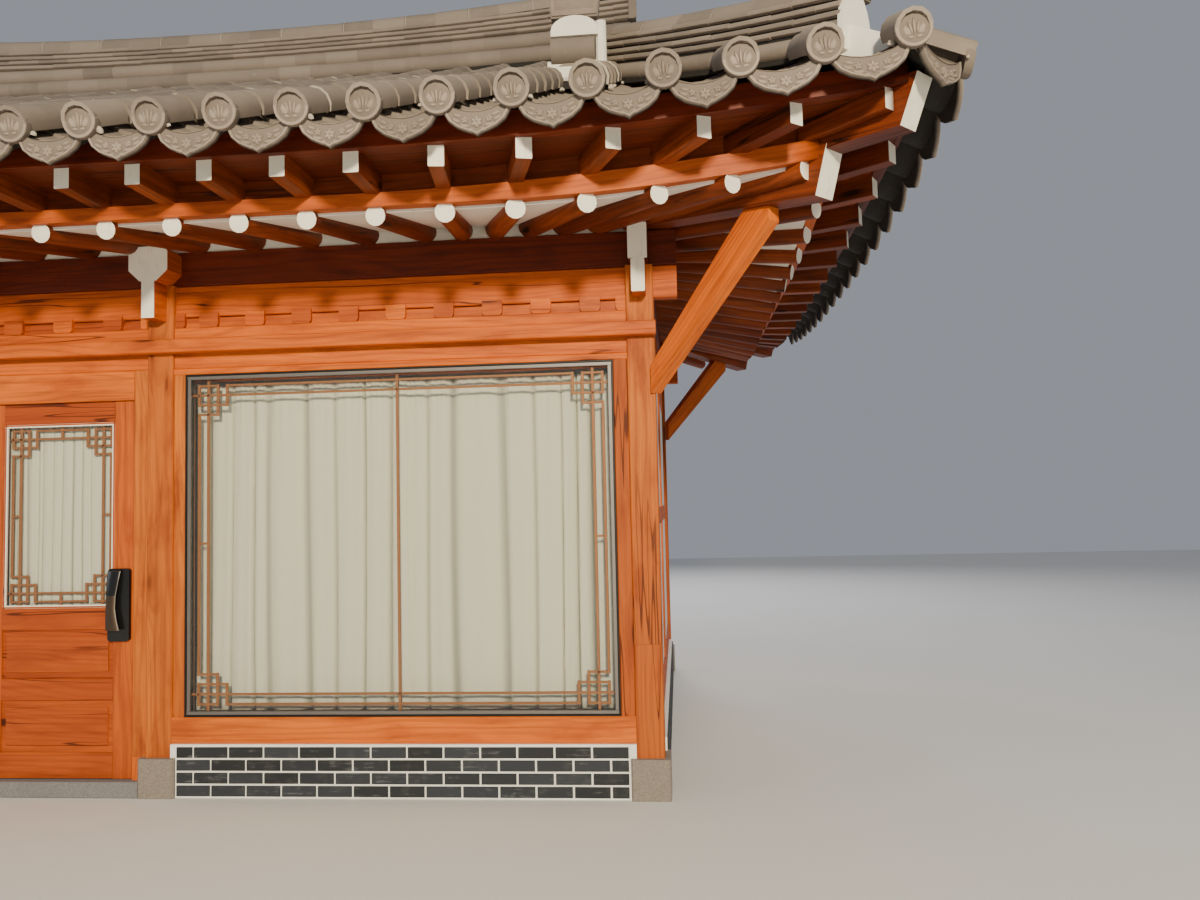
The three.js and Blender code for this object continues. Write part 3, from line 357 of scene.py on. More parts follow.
def coated_metal(name, shade, roughness, metallic, brushed=0.0):
    s = Shader(name)
    space = s.space()
    wear = s.noise(s.place(space, (40, 40, 40 - 36 * brushed)), 4.0, 5.0, 0.6)
    dust = s.noise(space, 7.0, 4.0)
    base = s.stain(shade, (dust, 0.5, 0.85, 0.25, tuple(min(1, channel * 1.6 + 0.01) for channel in shade)))
    return s.finish(base, roughness + wear * 0.2, wear, 0.0003, 0.3, Metallic=metallic)


def window_glass(name):
    s = Shader(name)
    haze = s.noise(s.space(), 2.0, 3.0)
    return s.finish(s.mix(haze, (0.10, 0.14, 0.16), (0.16, 0.20, 0.22)), 0.03, Alpha=0.07)


def curtain_cloth(name, shade):
    s = Shader(name)
    weave = s.place(s.grain(), (900, 900, 1))
    warp, weft = (s.add("ShaderNodeTexWave", {"Vector": weave, "Scale": 0.35}, "Fac", bands_direction=way)
                  for way in "XY")
    slub = s.noise(s.place(s.grain(), (30, 4, 1)), 3.0, 4.0, 0.6)
    base = s.stain(shade, (slub, 0.4, 0.8, 0.4, dimmed(shade, 0.86)))
    # Painted shade in the folds of the cloth
    base = s.mix(s.attribute("crease") * 0.95, base, dimmed(shade, 0.36))
    return s.finish(base, 0.95, warp * 0.5 + weft * 0.5, 0.0004, 0.4)


def plain_floor(name):
    s = Shader(name)
    cloud = s.noise(s.space(), 0.8, 2.0)
    return s.finish(s.mix(cloud, (0.72, 0.71, 0.69), (0.76, 0.75, 0.73)), 0.9)


# Places in FINISHES, in the order of make_finishes
(PINE, MID_PINE, PAINTED_SHADE_PINE, RAFTER_PINE, POST_PINE, PAINT, PLASTER, MORTAR, BRICK_JOINT,
 TILE, PAINTED_LIGHT_TILE, PAINTED_SHADE_TILE, BRICK, STONE, STEP_STONE, BLACK, GLOSS_BLACK, SILVER, BRONZE,
 COPPER, GLASS, CLOTH) = range(22)
FINISHES = []


def make_finishes(colours):
    keys = ("grain", "paint", "plaster", "tile", "brick", "stone", "curtain")
    grain, paint, plaster, tile, brick, stone, curtain = (tuple(getattr(colours, key)) for key in keys)
    FINISHES[:] = [
        stained_pine("pine", (0.77, 0.176, 0.008), (0.55, 0.094, 0.004), grain, 0.46),
        stained_pine("mid_pine", (0.55, 0.110, 0.007), (0.37, 0.058, 0.004), grain, 0.42),
        # A darkened copy of the pine: painted shade for the purlins and the fascia
        stained_pine("dark_pine", (0.17, 0.021, 0.003), (0.09, 0.010, 0.002), (0.022, 0.003, 0.001), 0.36),
        stained_pine("rafter_pine", (0.33, 0.062, 0.007), (0.14, 0.021, 0.003), (0.030, 0.006, 0.002), 0.40),
        stained_pine("post_pine", (0.70, 0.195, 0.016), (0.42, 0.083, 0.006), grain, 0.50, 0.75),
        end_paint("end_paint", paint),
        lime_plaster("lime_plaster", plaster),
        lime_plaster("roof_mortar", (0.44, 0.39, 0.32)),
        lime_plaster("brick_joint", (0.90, 0.90, 0.87)),
        clay_tile("roof_tile", tile, (0.30, 0.245, 0.200)),
        # A lighter copy of the tile: painted light on the fronts of the eave tiles and on raised relief
        clay_tile("edge_tile", dimmed(tile, 1.18), (0.36, 0.285, 0.225)),
        # Near black: painted shade for tile undersides and the bedding between ridge courses
        clay_tile("under_tile", (0.018, 0.015, 0.013), (0.030, 0.026, 0.022)),
        dark_brick("charcoal_brick", brick),
        granite("base_stone", stone),
        granite("step_stone", (0.20, 0.195, 0.20)),
        coated_metal("black_metal", (0.020, 0.018, 0.017), 0.35, 0.6),
        coated_metal("gloss_black", (0.008, 0.008, 0.009), 0.10, 0.0),
        coated_metal("grey_metal", (0.19, 0.175, 0.17), 0.38, 0.7),
        coated_metal("bronze_metal", (0.085, 0.060, 0.042), 0.26, 0.8, 1.0),
        coated_metal("lattice_copper", (0.32, 0.120, 0.030), 0.45, 0.25),
        window_glass("window_glass"),
        curtain_cloth("curtain_cloth", curtain),
    ]


# Mesh building

wood_lots = random.Random(5)


class Form:
    """The faces of one piece, each with its finish and its place on the grain map in metres."""

    def __init__(self):
        self.corners = []
        self.faces = []
        self.maps = []
        self.finishes = []
        self.smooth = []

    def face(self, points, uvs, finish=PINE, smooth=False):
        first = len(self.corners)
        self.corners.extend(tuple(point) for point in points)
        self.faces.append(list(range(first, first + len(points))))
        self.maps.extend(uvs)
        self.finishes.append(finish)
        self.smooth.append(smooth)

    def lay_grain(self, first, place, direction, shift):
        """Maps the faces from a number on again, with the grain along a direction."""
        for face in self.faces[first:]:
            points = [Vector(self.corners[k]) for k in face]
            normal = (points[1] - points[0]).cross(points[2] - points[1])
            along, side = direction, normal.cross(direction)
            if side.length < 0.05 * normal.length:
                along = direction.orthogonal().normalized()
                side = direction.cross(along)
            side.normalize()
            for k, point in enumerate(points):
                self.maps[place + k] = (shift[0] + point.dot(along), shift[1] + point.dot(side))
            place += len(face)

    def loft(self, stations, finish=PINE, ends=None, smooth=False, grain=None):
        """A closed outline carried through stations, anticlockwise about the way of travel."""
        shift_u = wood_lots.uniform(0, 60)
        shift_v = wood_lots.uniform(0, 60)
        first, place = len(self.faces), len(self.maps)
        stations = [[Vector(point) for point in outline] for outline in stations]
        count = len(stations[0])
        v = [shift_v]
        for i in range(count):
            v.append(v[-1] + (stations[0][(i + 1) % count] - stations[0][i]).length)
        u0 = shift_u
        for near, far in zip(stations, stations[1:]):
            u1 = u0 + (sum(far, Vector()) - sum(near, Vector())).length / count
            for i in range(count):
                j = (i + 1) % count
                uvs = ((u0, v[i]), (u0, v[i + 1]), (u1, v[i + 1]), (u1, v[i]))
                self.face((near[i], near[j], far[j], far[i]), uvs, finish, smooth)
            u0 = u1
        for outline in (list(reversed(stations[0])), stations[-1]):
            middle = sum(outline, Vector()) / count
            uvs = [(shift_u + (p - middle).dot(Vector((1, 1, 0))), shift_v + (p - middle).z) for p in outline]
            self.face(outline, uvs, finish if ends is None else ends)
        if grain is not None:
            self.lay_grain(first, place, Vector(grain).normalized(), (shift_u, shift_v))

    def run(self, outlines, start, end, up, finish, ends, smooth=False):
        """Sets outlines of (side, rise) at the start and the end, square to the line between them."""
        along = (end - start).normalized()
        side = Vector(up).cross(along).normalized()
        rise = along.cross(side)
        stations = [[place + side * x + rise * y for x, y in outline]
                    for place, outline in zip((start, end), outlines)]
        self.loft(stations, finish, ends, smooth)

    def timber(self, start, end, width, height, up=UP, chamfer=0.004, finish=PINE, ends=None):
        """A squared timber with eased edges."""
        a, b = width / 2, height / 2
        c = min(chamfer, a * 0.5, b * 0.5)
        right = [(a, c - b), (a, b - c), (a - c, b)]
        outline = [*right, (c - a, b), (-a, b - c), (-a, c - b), (c - a, -b), (a - c, -b)]
        self.run((outline, outline), Vector(start), Vector(end), up, finish, ends)

    def bar(self, low, high, finish=PINE, chamfer=0.004):
        """A squared timber from its lowest and highest corner, with the grain along its longest side."""
        low, high = Vector(low), Vector(high)
        size = high - low
        start = (low + high) / 2
        end = start.copy()
        axis = max(range(3), key=lambda k: size[k])
        start[axis], end[axis] = low[axis], high[axis]
        width = size[1] if axis == 0 else size[0]
        height = size[1] if axis == 2 else size[2]
        self.timber(start, end, width, height, INWARD if axis == 2 else UP, chamfer, finish)

    def bars(self, finish, chamfer, *boxes):
        """Squared timbers from (x0, x1, y0, y1, z0, z1)."""
        for x0, x1, y0, y1, z0, z1 in boxes:
            self.bar((x0, y0, z0), (x1, y1, z1), finish, chamfer)

    def frame(self, finish, chamfer, box, face, lap=0.0):
        """Four bars round a box: foot, head, left and right; lap runs the uprights over the others."""
        x0, x1, y0, y1, z0, z1 = box
        low, high = z0 + face - lap, z1 - face + lap
        self.bars(finish, chamfer, (x0, x1, y0, y1, z0, z0 + face), (x0, x1, y0, y1, z1 - face, z1),
                  (x0, x0 + face, y0, y1, low, high), (x1 - face, x1, y0, y1, low, high))

    def prism(self, outline, origin, across, depth, finish=PINE, grain=None):
        """An upright outline, anticlockwise as seen from the front, pushed back from its front face."""
        origin, across = Vector(origin), Vector(across)
        back = across.cross(UP) * -depth
        front = [origin + across * x + UP * y for x, y in outline]
        self.loft([[point + back for point in front], front], finish, grain=grain or across)

    def tube(self, start, end, radii, sides=14, finish=PINE, ends=None, up=UP):
        """A round bar; radii are those of its start and its end."""
        rings = [circle(sides, radius) for radius in radii]
        self.run(rings, Vector(start), Vector(end), up, finish, ends, smooth=True)

    def sheet(self, grid, finish, maps=None):
        """Smooth faces through lines of points; without maps, the grain map follows X and Y."""
        maps = maps or [[(point.x, point.y) for point in line] for line in grid]
        for lines in zip(zip(grid, grid[1:]), zip(maps, maps[1:])):
            for k in range(len(lines[0][0]) - 1):
                quad, places = ((a[k], b[k], b[k + 1], a[k + 1]) for a, b in lines)
                if max((quad[0] - quad[3]).length, (quad[1] - quad[2]).length) > 1e-5:
                    self.face(quad, places, finish, True)

    def mesh(self, name):
        mesh = bpy.data.meshes.new(name)
        mesh.from_pydata(self.corners, [], self.faces)
        layer = mesh.uv_layers.new(name="grain")
        for loop, place in zip(layer.data, self.maps):
            loop.uv = place
        for polygon, smooth in zip(mesh.polygons, self.smooth):
            polygon.use_smooth = smooth
        return mesh

    def build(self, name, node, slot, body="house", turn=0, mirror=None):
        """The finished piece that stands for a node of the solids."""
        mesh = self.mesh(name)
        used = sorted(set(self.finishes))
        for index in used:
            mesh.materials.append(FINISHES[index])
        for polygon, finish in zip(mesh.polygons, self.finishes):
            polygon.material_index = used.index(finish)
        if turn:
            mesh.transform(Matrix.Rotation(math.radians(turn), 4, "Z"))
        if mirror:
            mesh.transform(Matrix.Diagonal((*mirror, 1, 1)))
        weld(mesh, mirror and mirror[0] * mirror[1] < 0)
        piece = bpy.data.objects.new(name, mesh)
        bpy.context.scene.collection.objects.link(piece)
        return settle(piece, (node,), body)


def weld(mesh, flip=False):
    work = bmesh.new()
    work.from_mesh(mesh)
    bmesh.ops.remove_doubles(work, verts=work.verts, dist=2e-5)
    bmesh.ops.dissolve_degenerate(work, edges=work.edges, dist=1e-6)
    if flip:
        bmesh.ops.reverse_faces(work, faces=work.faces)
    work.to_mesh(mesh)
    work.free()
    mesh.set_sharp_from_angle(angle=math.radians(42))


def settle(piece, nodes, body="house"):
    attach(piece, body)
    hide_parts(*nodes)
    return piece


# Repeats

REPEAT_INPUTS = {
    "Geometry": "Geometry", "Piece": "Object", "Finish": "Material", "Wobble": "Float", "Seed": "Int"}


def repeat_tree():
    """Sets a piece on each point, turned and scaled by the point's own turn and size."""
    tree = bpy.data.node_groups.get("repeat_piece")
    if tree:
        return tree
    tree = bpy.data.node_groups.new("repeat_piece", "GeometryNodeTree")
    for label, kind in REPEAT_INPUTS.items():
        tree.interface.new_socket(label, in_out="INPUT", socket_type="NodeSocket" + kind)
    tree.interface.new_socket("Geometry", in_out="OUTPUT", socket_type="NodeSocketGeometry")

    def node(kind, links=None, output=0, **settings):
        made = tree.nodes.new(kind)
        for key, value in settings.items():
            setattr(made, key, value)
        for key, value in (links or {}).items():
            if isinstance(value, bpy.types.NodeSocket):
                tree.links.new(value, made.inputs[key])
            else:
                made.inputs[key].default_value = value
        return made.outputs[output]

    source = tree.nodes.new("NodeGroupInput").outputs
    turn, size = (
        node("GeometryNodeInputNamedAttribute", {"Name": name}, "Attribute", data_type="FLOAT_VECTOR")
        for name in ("turn", "size"))
    shape = node("GeometryNodeObjectInfo", {"Object": source["Piece"]}, "Geometry")
    placed = node("GeometryNodeInstanceOnPoints",
                  {"Points": source["Geometry"], "Instance": shape, "Rotation": turn, "Scale": size})
    lean = node("FunctionNodeRandomValue", {"Min": (-1, -1, -1), "Max": (1, 1, 1), "Seed": source["Seed"]},
                data_type="FLOAT_VECTOR")
    scaled = node("ShaderNodeVectorMath", {0: lean, "Scale": source["Wobble"]}, operation="SCALE")
    turned = node("GeometryNodeRotateInstances", {"Instances": placed, "Rotation": scaled})
    shade = node("FunctionNodeRandomValue", {"Seed": source["Seed"]}, 1, data_type="FLOAT")
    stored = node("GeometryNodeStoreNamedAttribute", {"Geometry": turned, "Name": "tone", "Value": shade},
                  data_type="FLOAT", domain="INSTANCE")
    solid = node("GeometryNodeRealizeInstances", {"Geometry": stored})
    painted = node("GeometryNodeSetMaterial", {"Geometry": solid, "Material": source["Finish"]})
    tree.links.new(painted, tree.nodes.new("NodeGroupOutput").inputs["Geometry"])
    return tree


def repeat(name, nodes, shape, places, finish, wobble=0.0, seed=1):
    """One mesh of a shape set at each place: (location, turn, size)."""
    collection = bpy.context.scene.collection
    pattern = bpy.data.objects.new(name + "_pattern", shape)
    collection.objects.link(pattern)
    points = bpy.data.meshes.new(name + "_points")
    points.from_pydata([tuple(place[0]) for place in places], [], [])
    for label, column in (("turn", 1), ("size", 2)):
        values = points.attributes.new(label, "FLOAT_VECTOR", "POINT")
        values.data.foreach_set("vector", [x for place in places for x in place[column]])
    piece = bpy.data.objects.new(name, points)
    collection.objects.link(piece)
    modifier = piece.modifiers.new("Repeat", "NODES")
    modifier.node_group = repeat_tree()
    values = {"Piece": pattern, "Finish": FINISHES[finish], "Wobble": wobble, "Seed": seed}
    for item in modifier.node_group.interface.items_tree:
        if item.name in values:
            modifier[item.identifier] = values[item.name]
    graph = bpy.context.evaluated_depsgraph_get()
    mesh = bpy.data.meshes.new_from_object(piece.evaluated_get(graph))
    piece.modifiers.clear()
    piece.data = mesh
    mesh.name = name
    bpy.data.objects.remove(pattern)
    return settle(piece, nodes)


def shape_of(form, name, recess=None, back=1.0):
    """A mesh for repeats; painted shade lies where Y is in the recess, and on the back."""
    mesh = form.mesh(name)
    weld(mesh)
    if recess:
        low, high = recess
        dirt = mesh.attributes.new("dirt", "FLOAT", "POINT")
        depths = [vertex.co.y for vertex in mesh.vertices]
        dirt.data.foreach_set("value", [back if y > 0 else float(low < y < high) for y in depths])
    return mesh


def axes_turn(x_axis, y_axis):
    """The Euler turn that carries X and Y to two directions."""
    x = Vector(x_axis).normalized()
    z = x.cross(Vector(y_axis)).normalized()
    y = z.cross(x)
    return Matrix((x, y, z)).transposed().to_euler()


# Sizes and colours that a user may change


def size_property(name, description, default):
    return bpy.props.FloatProperty(name=name, description=description, default=default, unit="LENGTH")


def colour_property(name, description, default):
    return bpy.props.FloatVectorProperty(
        name=name, description=description, default=default, subtype="COLOR")


class HanokSizes(bpy.types.PropertyGroup):
    """Sizes of the repeated and soft pieces."""

    brick_length: size_property("Brick length", "Length of one brick face", 0.190)
    brick_height: size_property("Brick height", "Height of one brick face", 0.057)
    joint: size_property("Joint", "Width of the white joint between bricks", 0.012)
    cover_radius: size_property("Cover tile radius", "Outer radius of a cover tile", 0.074)
    cover_length: size_property("Cover tile exposure", "Shown length of a cover tile", 0.255)
    pan_step: size_property("Pan tile exposure", "Shown length of a pan tile", 0.150)
    lattice_bar: size_property("Lattice bar", "Face width of a window bar", 0.016)
    fold_width: size_property("Curtain fold", "Mean width of a curtain fold", 0.170)


class HanokColours(bpy.types.PropertyGroup):
    """Colours of the finishes."""

    grain: colour_property("Grain", "Dark grain of the pine", (0.19, 0.027, 0.003))
    paint: colour_property("End paint", "Paint on the ends of timbers", (0.86, 0.82, 0.70))
    plaster: colour_property("Plaster", "Lime plaster", (0.80, 0.77, 0.70))
    tile: colour_property("Tile", "Roof tiles", (0.235, 0.192, 0.158))
    brick: colour_property("Brick", "Bricks of the plinth", (0.015, 0.018, 0.024))
    stone: colour_property("Stone", "Base stones", (0.24, 0.203, 0.175))
    # Cream pushed warmer and brighter than the cloth for warm sunlight: partly the cloth's colour, partly
    # painted light
    curtain: colour_property("Curtain", "Curtain cloth", (0.94, 0.92, 0.72))


# Ground works


class HANOK_OT_ground(bpy.types.Operator):
    """Base stones, door step and floors"""

    bl_idname = "hanok.ground"
    bl_label = "Base stones and floors"

    def execute(self, context):
        stones = Form()
        width = 2 * STONE_HALF
        for x in POST_X:
            for y in (-HALF_DEPTH, HALF_DEPTH):
                stones.timber((x, y, 0), (x, y, STONE_TOP), width, width, INWARD, 0.009, STONE)
        stones.build("base_stones", "stone_base", "granite")
        step = Form()
        back, under = 0.200 - HALF_DEPTH, STEP_TOP - 0.004
        step.bars(STEP_STONE, 0.006, (-0.501, 0.501, -HALF_DEPTH - 0.100, back, 0, STEP_TOP),
                  (-3.270, 3.270, back, HALF_DEPTH - 0.056, 0, under))
        step.build("door_step", "stone_base", "granite")
        floors = Form()
        board, half = 0.115, 1.707
        bed = FLOOR_TOP - 0.022
        for _, side in SIDES:
            near, far = span(side, 0.712, 3.227)
            floors.bars(PLASTER, 0.004, (near, far, -half, half, STEP_TOP - 0.006, bed))
            marks = [near + (far - near) * share for share in shares(round((far - near) / board))]
            for a, b in zip(marks, marks[1:]):
                floors.bars(PINE, 0.002, (a, b - 0.002, -half, half, bed, FLOOR_TOP))
        floors.build("floor_boards", "stone_base", "granite")
        return {"FINISHED"}


def brick_places(sizes, start, end, turn, courses=4):
    """Courses of a running bond along a wall face, with a half brick at one end of each."""
    run = end - start
    along = run.normalized()
    joint, brick = sizes.joint, sizes.brick_length
    halves = round((run.length - joint) / (brick + joint) * 2)
    halves += 1 - halves % 2
    pitch = (run.length - joint) / (halves / 2)
    full = (pitch - joint) / brick
    half = (pitch / 2 - joint) / brick
    places = []
    for course in range(courses):
        z = joint + sizes.brick_height / 2 + course * (sizes.brick_height + joint)
        cursor = joint
        widths = [full] * (halves // 2)
        widths.insert(0 if course % 2 else len(widths), half)
        for width in widths:
            centre = start + along * (cursor + width * brick / 2)
            places.append(((centre.x, centre.y, z), (0, 0, turn), (width, 1, 1)))
            cursor += width * brick + joint
    return places


class HANOK_OT_plinths(bpy.types.Operator):
    """Charcoal brick plinths with white joints"""

    bl_idname = "hanok.plinths"
    bl_label = "Brick plinths"

    def execute(self, context):
        sizes = context.scene.hanok_sizes
        half = Vector((sizes.brick_length, 0.020, sizes.brick_height)) / 2
        form = Form()
        form.bar(-half, half, chamfer=0.0035)
        brick = shape_of(form, "brick")
        face, thickness = 0.0835, 0.130
        x, y = HALF_LENGTH + face, HALF_DEPTH + face
        left, middle, right = ((a + STONE_HALF, b - STONE_HALF) for a, b in BAYS)
        side = (STONE_HALF - HALF_DEPTH, HALF_DEPTH - STONE_HALF)
        for name, line, spans in (("front_plinth_right", -y, [right]), ("front_plinth_left", -y, [left]),
                                  ("right_plinth", x, [side]), ("left_plinth", -x, [side]),
                                  ("rear_plinth", y, [left, middle, right])):
            along, out = (INWARD, ACROSS) if spans[0] is side else (ACROSS, INWARD)
            along = Vector(along)
            base = Vector(out) * line
            inside = base - Vector(out) * math.copysign(thickness, line)
            backing = Form()
            places = []
            for a, b in spans:
                for reach, z0, z1 in ((0, 0.0, STONE_TOP), (0.030, STONE_TOP, PLINTH_TOP)):
                    corners = [p + along * t for p in (base, inside) for t in (a - reach, b + reach)]
                    low, high = ([pick(corner[k] for corner in corners) for k in (0, 1)]
                                 for pick in (min, max))
                    backing.bar((*low, z0), (*high, z1), BRICK_JOINT, 0.002)
                turn = math.atan2(along.y, along.x)
                places += brick_places(sizes, base + along * a, base + along * b, turn)
            backing.build(name + "_mortar", name, "brick")
            repeat(name + "_bricks", (name,), brick, places, BRICK, 0.004, 3)
        return {"FINISHED"}


# Timber frame


class HANOK_OT_posts(bpy.types.Operator):
    """Square posts, one of them spliced above its foot"""

    bl_idname = "hanok.posts"
    bl_label = "Posts"

    def execute(self, context):
        splice, width = 0.810, 2 * HALF_POST
        for row, y in (("front", -HALF_DEPTH), ("rear", HALF_DEPTH)):
            for i, x in enumerate(POST_X):
                name = f"post_{row}_{i + 1}"
                lengths = [(STONE_TOP, PURLIN_BOTTOM, width, 0.006)]
                if name == "post_front_4":
                    lengths = [(splice, PURLIN_BOTTOM, width, 0.006),
                               (STONE_TOP, splice - 0.001, width - 0.001, 0.005)]
                form = Form()
                for low, high, wide, chamfer in lengths:
                    form.timber((x, y, low), (x, y, high), wide, wide, INWARD, chamfer, POST_PINE)
                form.build(name + "_timber", name, "pine")
        return {"FINISHED"}


def wall_runs():
    """Each bay of the wall ring: its two post axes and the outward direction."""
    runs = []
    for out in (-1, 1):
        y = out * HALF_DEPTH
        runs.extend((Vector((a, y, 0)), Vector((b, y, 0)), Vector((0, out, 0))) for a, b in BAYS)
    for out in (-1, 1):
        x = out * HALF_LENGTH
        runs.append((Vector((x, -HALF_DEPTH, 0)), Vector((x, HALF_DEPTH, 0)), Vector((out, 0, 0))))
    return runs


BLOCK_GAP = BEARER_BOTTOM - LINTEL_TOP
BLOCK_LAP = 0.017
BLOCK_PITCH = 0.286


def block_outline(left, right):
    """A bearing block from the front, with rounded lower corners; a side may be cut at its middle."""
    foot, half, round_up = 0.041, 0.056, 0.024
    curve = [(foot + (half - foot) * math.sin(t * math.pi / 2), round_up * (1 - math.cos(t * math.pi / 2)))
             for t in (0, 0.35, 0.7, 1)] + [(half, BLOCK_GAP)]
    cut = [(0, 0), (0, BLOCK_GAP)]
    return (curve if right else cut) + mirrored(curve if left else cut)


class HANOK_OT_bearers(bpy.types.Operator):
    """Lintels, bearing blocks, bearers and purlins"""

    bl_idname = "hanok.bearers"
    bl_label = "Lintels, bearers and purlins"

    def execute(self, context):
        lintels, course, purlins = Form(), Form(), Form()
        for start, end, out in wall_runs():
            along = (end - start).normalized()
            a, b = start + along * HALF_POST, end - along * HALF_POST
            # The course planks take a darker pine as painted shade between the blocks
            for form, low, high, width, chamfer, finish in (
                (lintels, LINTEL_BOTTOM, LINTEL_TOP, 0.105, 0.006, PINE),
                (course, LINTEL_TOP, BEARER_BOTTOM, 0.030, 0.003, MID_PINE),
                (course, LINTEL_TOP, BEARER_BOTTOM - 0.007, 0.060, 0.003, MID_PINE),
            ):
                middle = UP * (low + high) / 2
                form.timber(a + middle, b + middle, width, high - low, chamfer=chamfer, finish=finish)
            self.blocks(course, start, end, along, out)
        self.ring(course, BEARER_BOTTOM, PURLIN_BOTTOM, 0.075, PINE)
        # The purlins take the darkened pine as painted shade
        self.ring(purlins, PURLIN_BOTTOM, PURLIN_TOP, 0.105, PAINTED_SHADE_PINE)
        lintels.build("lintels", "lintel_ring", "pine")
        course.build("bracket_course", "bracket_ring", "pine")
        purlins.build("purlins", "purlin_ring", "pine")
        return {"FINISHED"}

    def blocks(self, form, start, end, along, out):
        """Blocks at an even pitch, and half blocks against the posts."""
        count = round((end - start).length / BLOCK_PITCH)
        backward = along.dot(Vector((1, 1, 0))) < 0
        clear = along * (HALF_POST + 0.001)
        places = [(start + (end - start) * (i + 1) / count, True, True) for i in range(count - 1)]
        places += [(start + clear, backward, True), (end - clear, True, backward)]
        across = Vector((-out.y, out.x, 0))
        flip = across.dot(along) < 0
        for i, (place, left, right) in enumerate(places):
            outline = block_outline(right, left) if flip else block_outline(left, right)
            finish = PINE if i % 3 == 1 else MID_PINE
            form.prism(outline, place + out * 0.052 + UP * LINTEL_TOP, across, 0.104, finish)
            low, high = min(outline)[0], max(outline)[0]
            lip = [(low, 0), (high, 0), (high, BLOCK_LAP), (low, BLOCK_LAP)]
            for offset in (0.052, -0.038):
                form.prism(lip, place + out * offset + UP * BEARER_BOTTOM, across, 0.014, finish)

    def ring(self, form, low, high, width, finish):
        """A ring of timbers whose long ones run through and whose short ones show painted ends."""
        z, height = (low + high) / 2, high - low
        end_x, end_y = HALF_LENGTH + CROSSING_END, HALF_DEPTH + CROSSING_END
        inner, outer = HALF_DEPTH - width / 2, HALF_DEPTH + width / 2
        for y in (-HALF_DEPTH, HALF_DEPTH):
            form.timber((-end_x, y, z), (end_x, y, z), width, height, chamfer=0.005, finish=finish)
        for x in (-HALF_LENGTH, HALF_LENGTH):
            form.timber((x, -inner, z), (x, inner, z), width, height, chamfer=0.005, finish=finish)
            for out in (-1, 1):
                form.timber((x, out * outer, z), (x, out * end_y, z), width - 0.002, height, chamfer=0.005,
                            finish=finish, ends=PAINT)


def beam_outline():
    """The eight-sided section of a cross beam, as tall as the purlin it passes."""
    half, foot, low, top = 0.113, 0.049, 0.060, 0.028
    height = PURLIN_TOP - PURLIN_BOTTOM
    side = [(foot, 0), (half, low), (half, height - top), (half - top, height)]
    return side + mirrored(side)


def diagonal(form, outline, width, finish):
    """An outline in the diagonal plane of the front right corner: distance along one wall, and height."""
    across = Vector((1, 1, 0)).normalized() * width / 2
    line = [Vector((HALF_LENGTH + d, -HALF_DEPTH - d, z)) for d, z in outline]
    form.loft([[point + across for point in line], [point - across for point in line]], finish,
              grain=line[1] - line[0])


class HANOK_OT_beams(bpy.types.Operator):
    """Cross beams with painted heads, the rail board and the corner braces"""

    bl_idname = "hanok.beams"
    bl_label = "Beams, rail and braces"

    def execute(self, context):
        end, head, half = HALF_DEPTH + BEAM_END, 0.420, 0.0375
        foot = BLOCK_BOTTOM - PURLIN_BOTTOM
        block = [(-half, foot), (half, foot), (half, 0), (-half, 0)]
        for name, side in SIDES:
            x = side * DOOR_POST_X
            form = Form()
            for outline, far, near in (
                (beam_outline(), end, -end), (block, head - end, -end), (block, end, end - head),
            ):
                stations = [[(x + a, y, PURLIN_BOTTOM + z) for a, z in outline] for y in (far, near)]
                form.loft(stations, PINE, PAINT)
            form.build(f"cross_beam_{name}", f"beam_{name}", "pine")
        reach, face = HALF_LENGTH + 0.085, -HALF_DEPTH - HALF_POST
        rail = Form()
        rail.bars(PINE, 0.005, (-reach, reach, face - 0.060, face, RAIL_BOTTOM, RAIL_TOP))
        rail.build("rail_board", "front_rail", "pine")
        brace = [(0.077, 2.150), (0.668, 2.880), (0.668, 2.946), (0.560, 2.966), (0.077, 2.297)]
        for name, signs in CORNERS.items():
            form = Form()
            diagonal(form, brace, 0.075, PINE)
            form.build(f"corner_brace_{name}", f"brace_{name}", "pine", mirror=signs)
        return {"FINISHED"}


# Windows

WINDOW_NEAR = 0.748
WINDOW_FAR = 3.179
# The bars of a stepped lattice corner as (x0, x1, z0, z1), counted in steps from the corner
LATTICE_CORNER = ((0, 0, 0, 2), (2, 2, 0, 3), (3, 3, 0, 2), (0, 2, 0, 0), (0, 3, 2, 2), (0, 2, 3, 3))


def lattice_bars(width, height, offset, spacing, centre_bar):
    """The bars of a lattice with stepped corners, as (x0, x1, z0, z1) of their centre lines."""
    a = [offset + spacing * k for k in range(4)]
    bars = []
    for flip_x in (False, True):
        for flip_z in (False, True):
            for x0, x1, z0, z1 in ([a[k] for k in bar] for bar in LATTICE_CORNER):
                xs = (width - x1, width - x0) if flip_x else (x0, x1)
                zs = (height - z1, height - z0) if flip_z else (z0, z1)
                bars.append((*xs, *zs))
    bars += [(x, x, a[3], height - a[3]) for x in (a[0], width - a[0])]
    bars += [(x, x, 0, height) for x in (a[1], width - a[1])]
    bars += [(a[3], width - a[3], z, z) for z in (a[0], height - a[0])]
    bars += [(0, width, z, z) for z in (a[1], height - a[1])]
    bars += [(x, x + spacing, height / 2, height / 2) for x in (a[0], width - a[1])]
    x = width / 2
    if centre_bar:
        bars += [(x, x, 0, height), (x, x, a[0], a[1]), (x, x, height - a[1], height - a[0])]
    else:
        bars += [(x, x, 0, a[1]), (x, x, height - a[1], height)]
    return bars


def within(box, margin, near, far):
    """A box (x0, x1, y0, y1, z0, z1) drawn in by a margin, between two depths."""
    x0, x1, _, _, z0, z1 = box
    return (x0 + margin, x1 - margin, near, far, z0 + margin, z1 - margin)


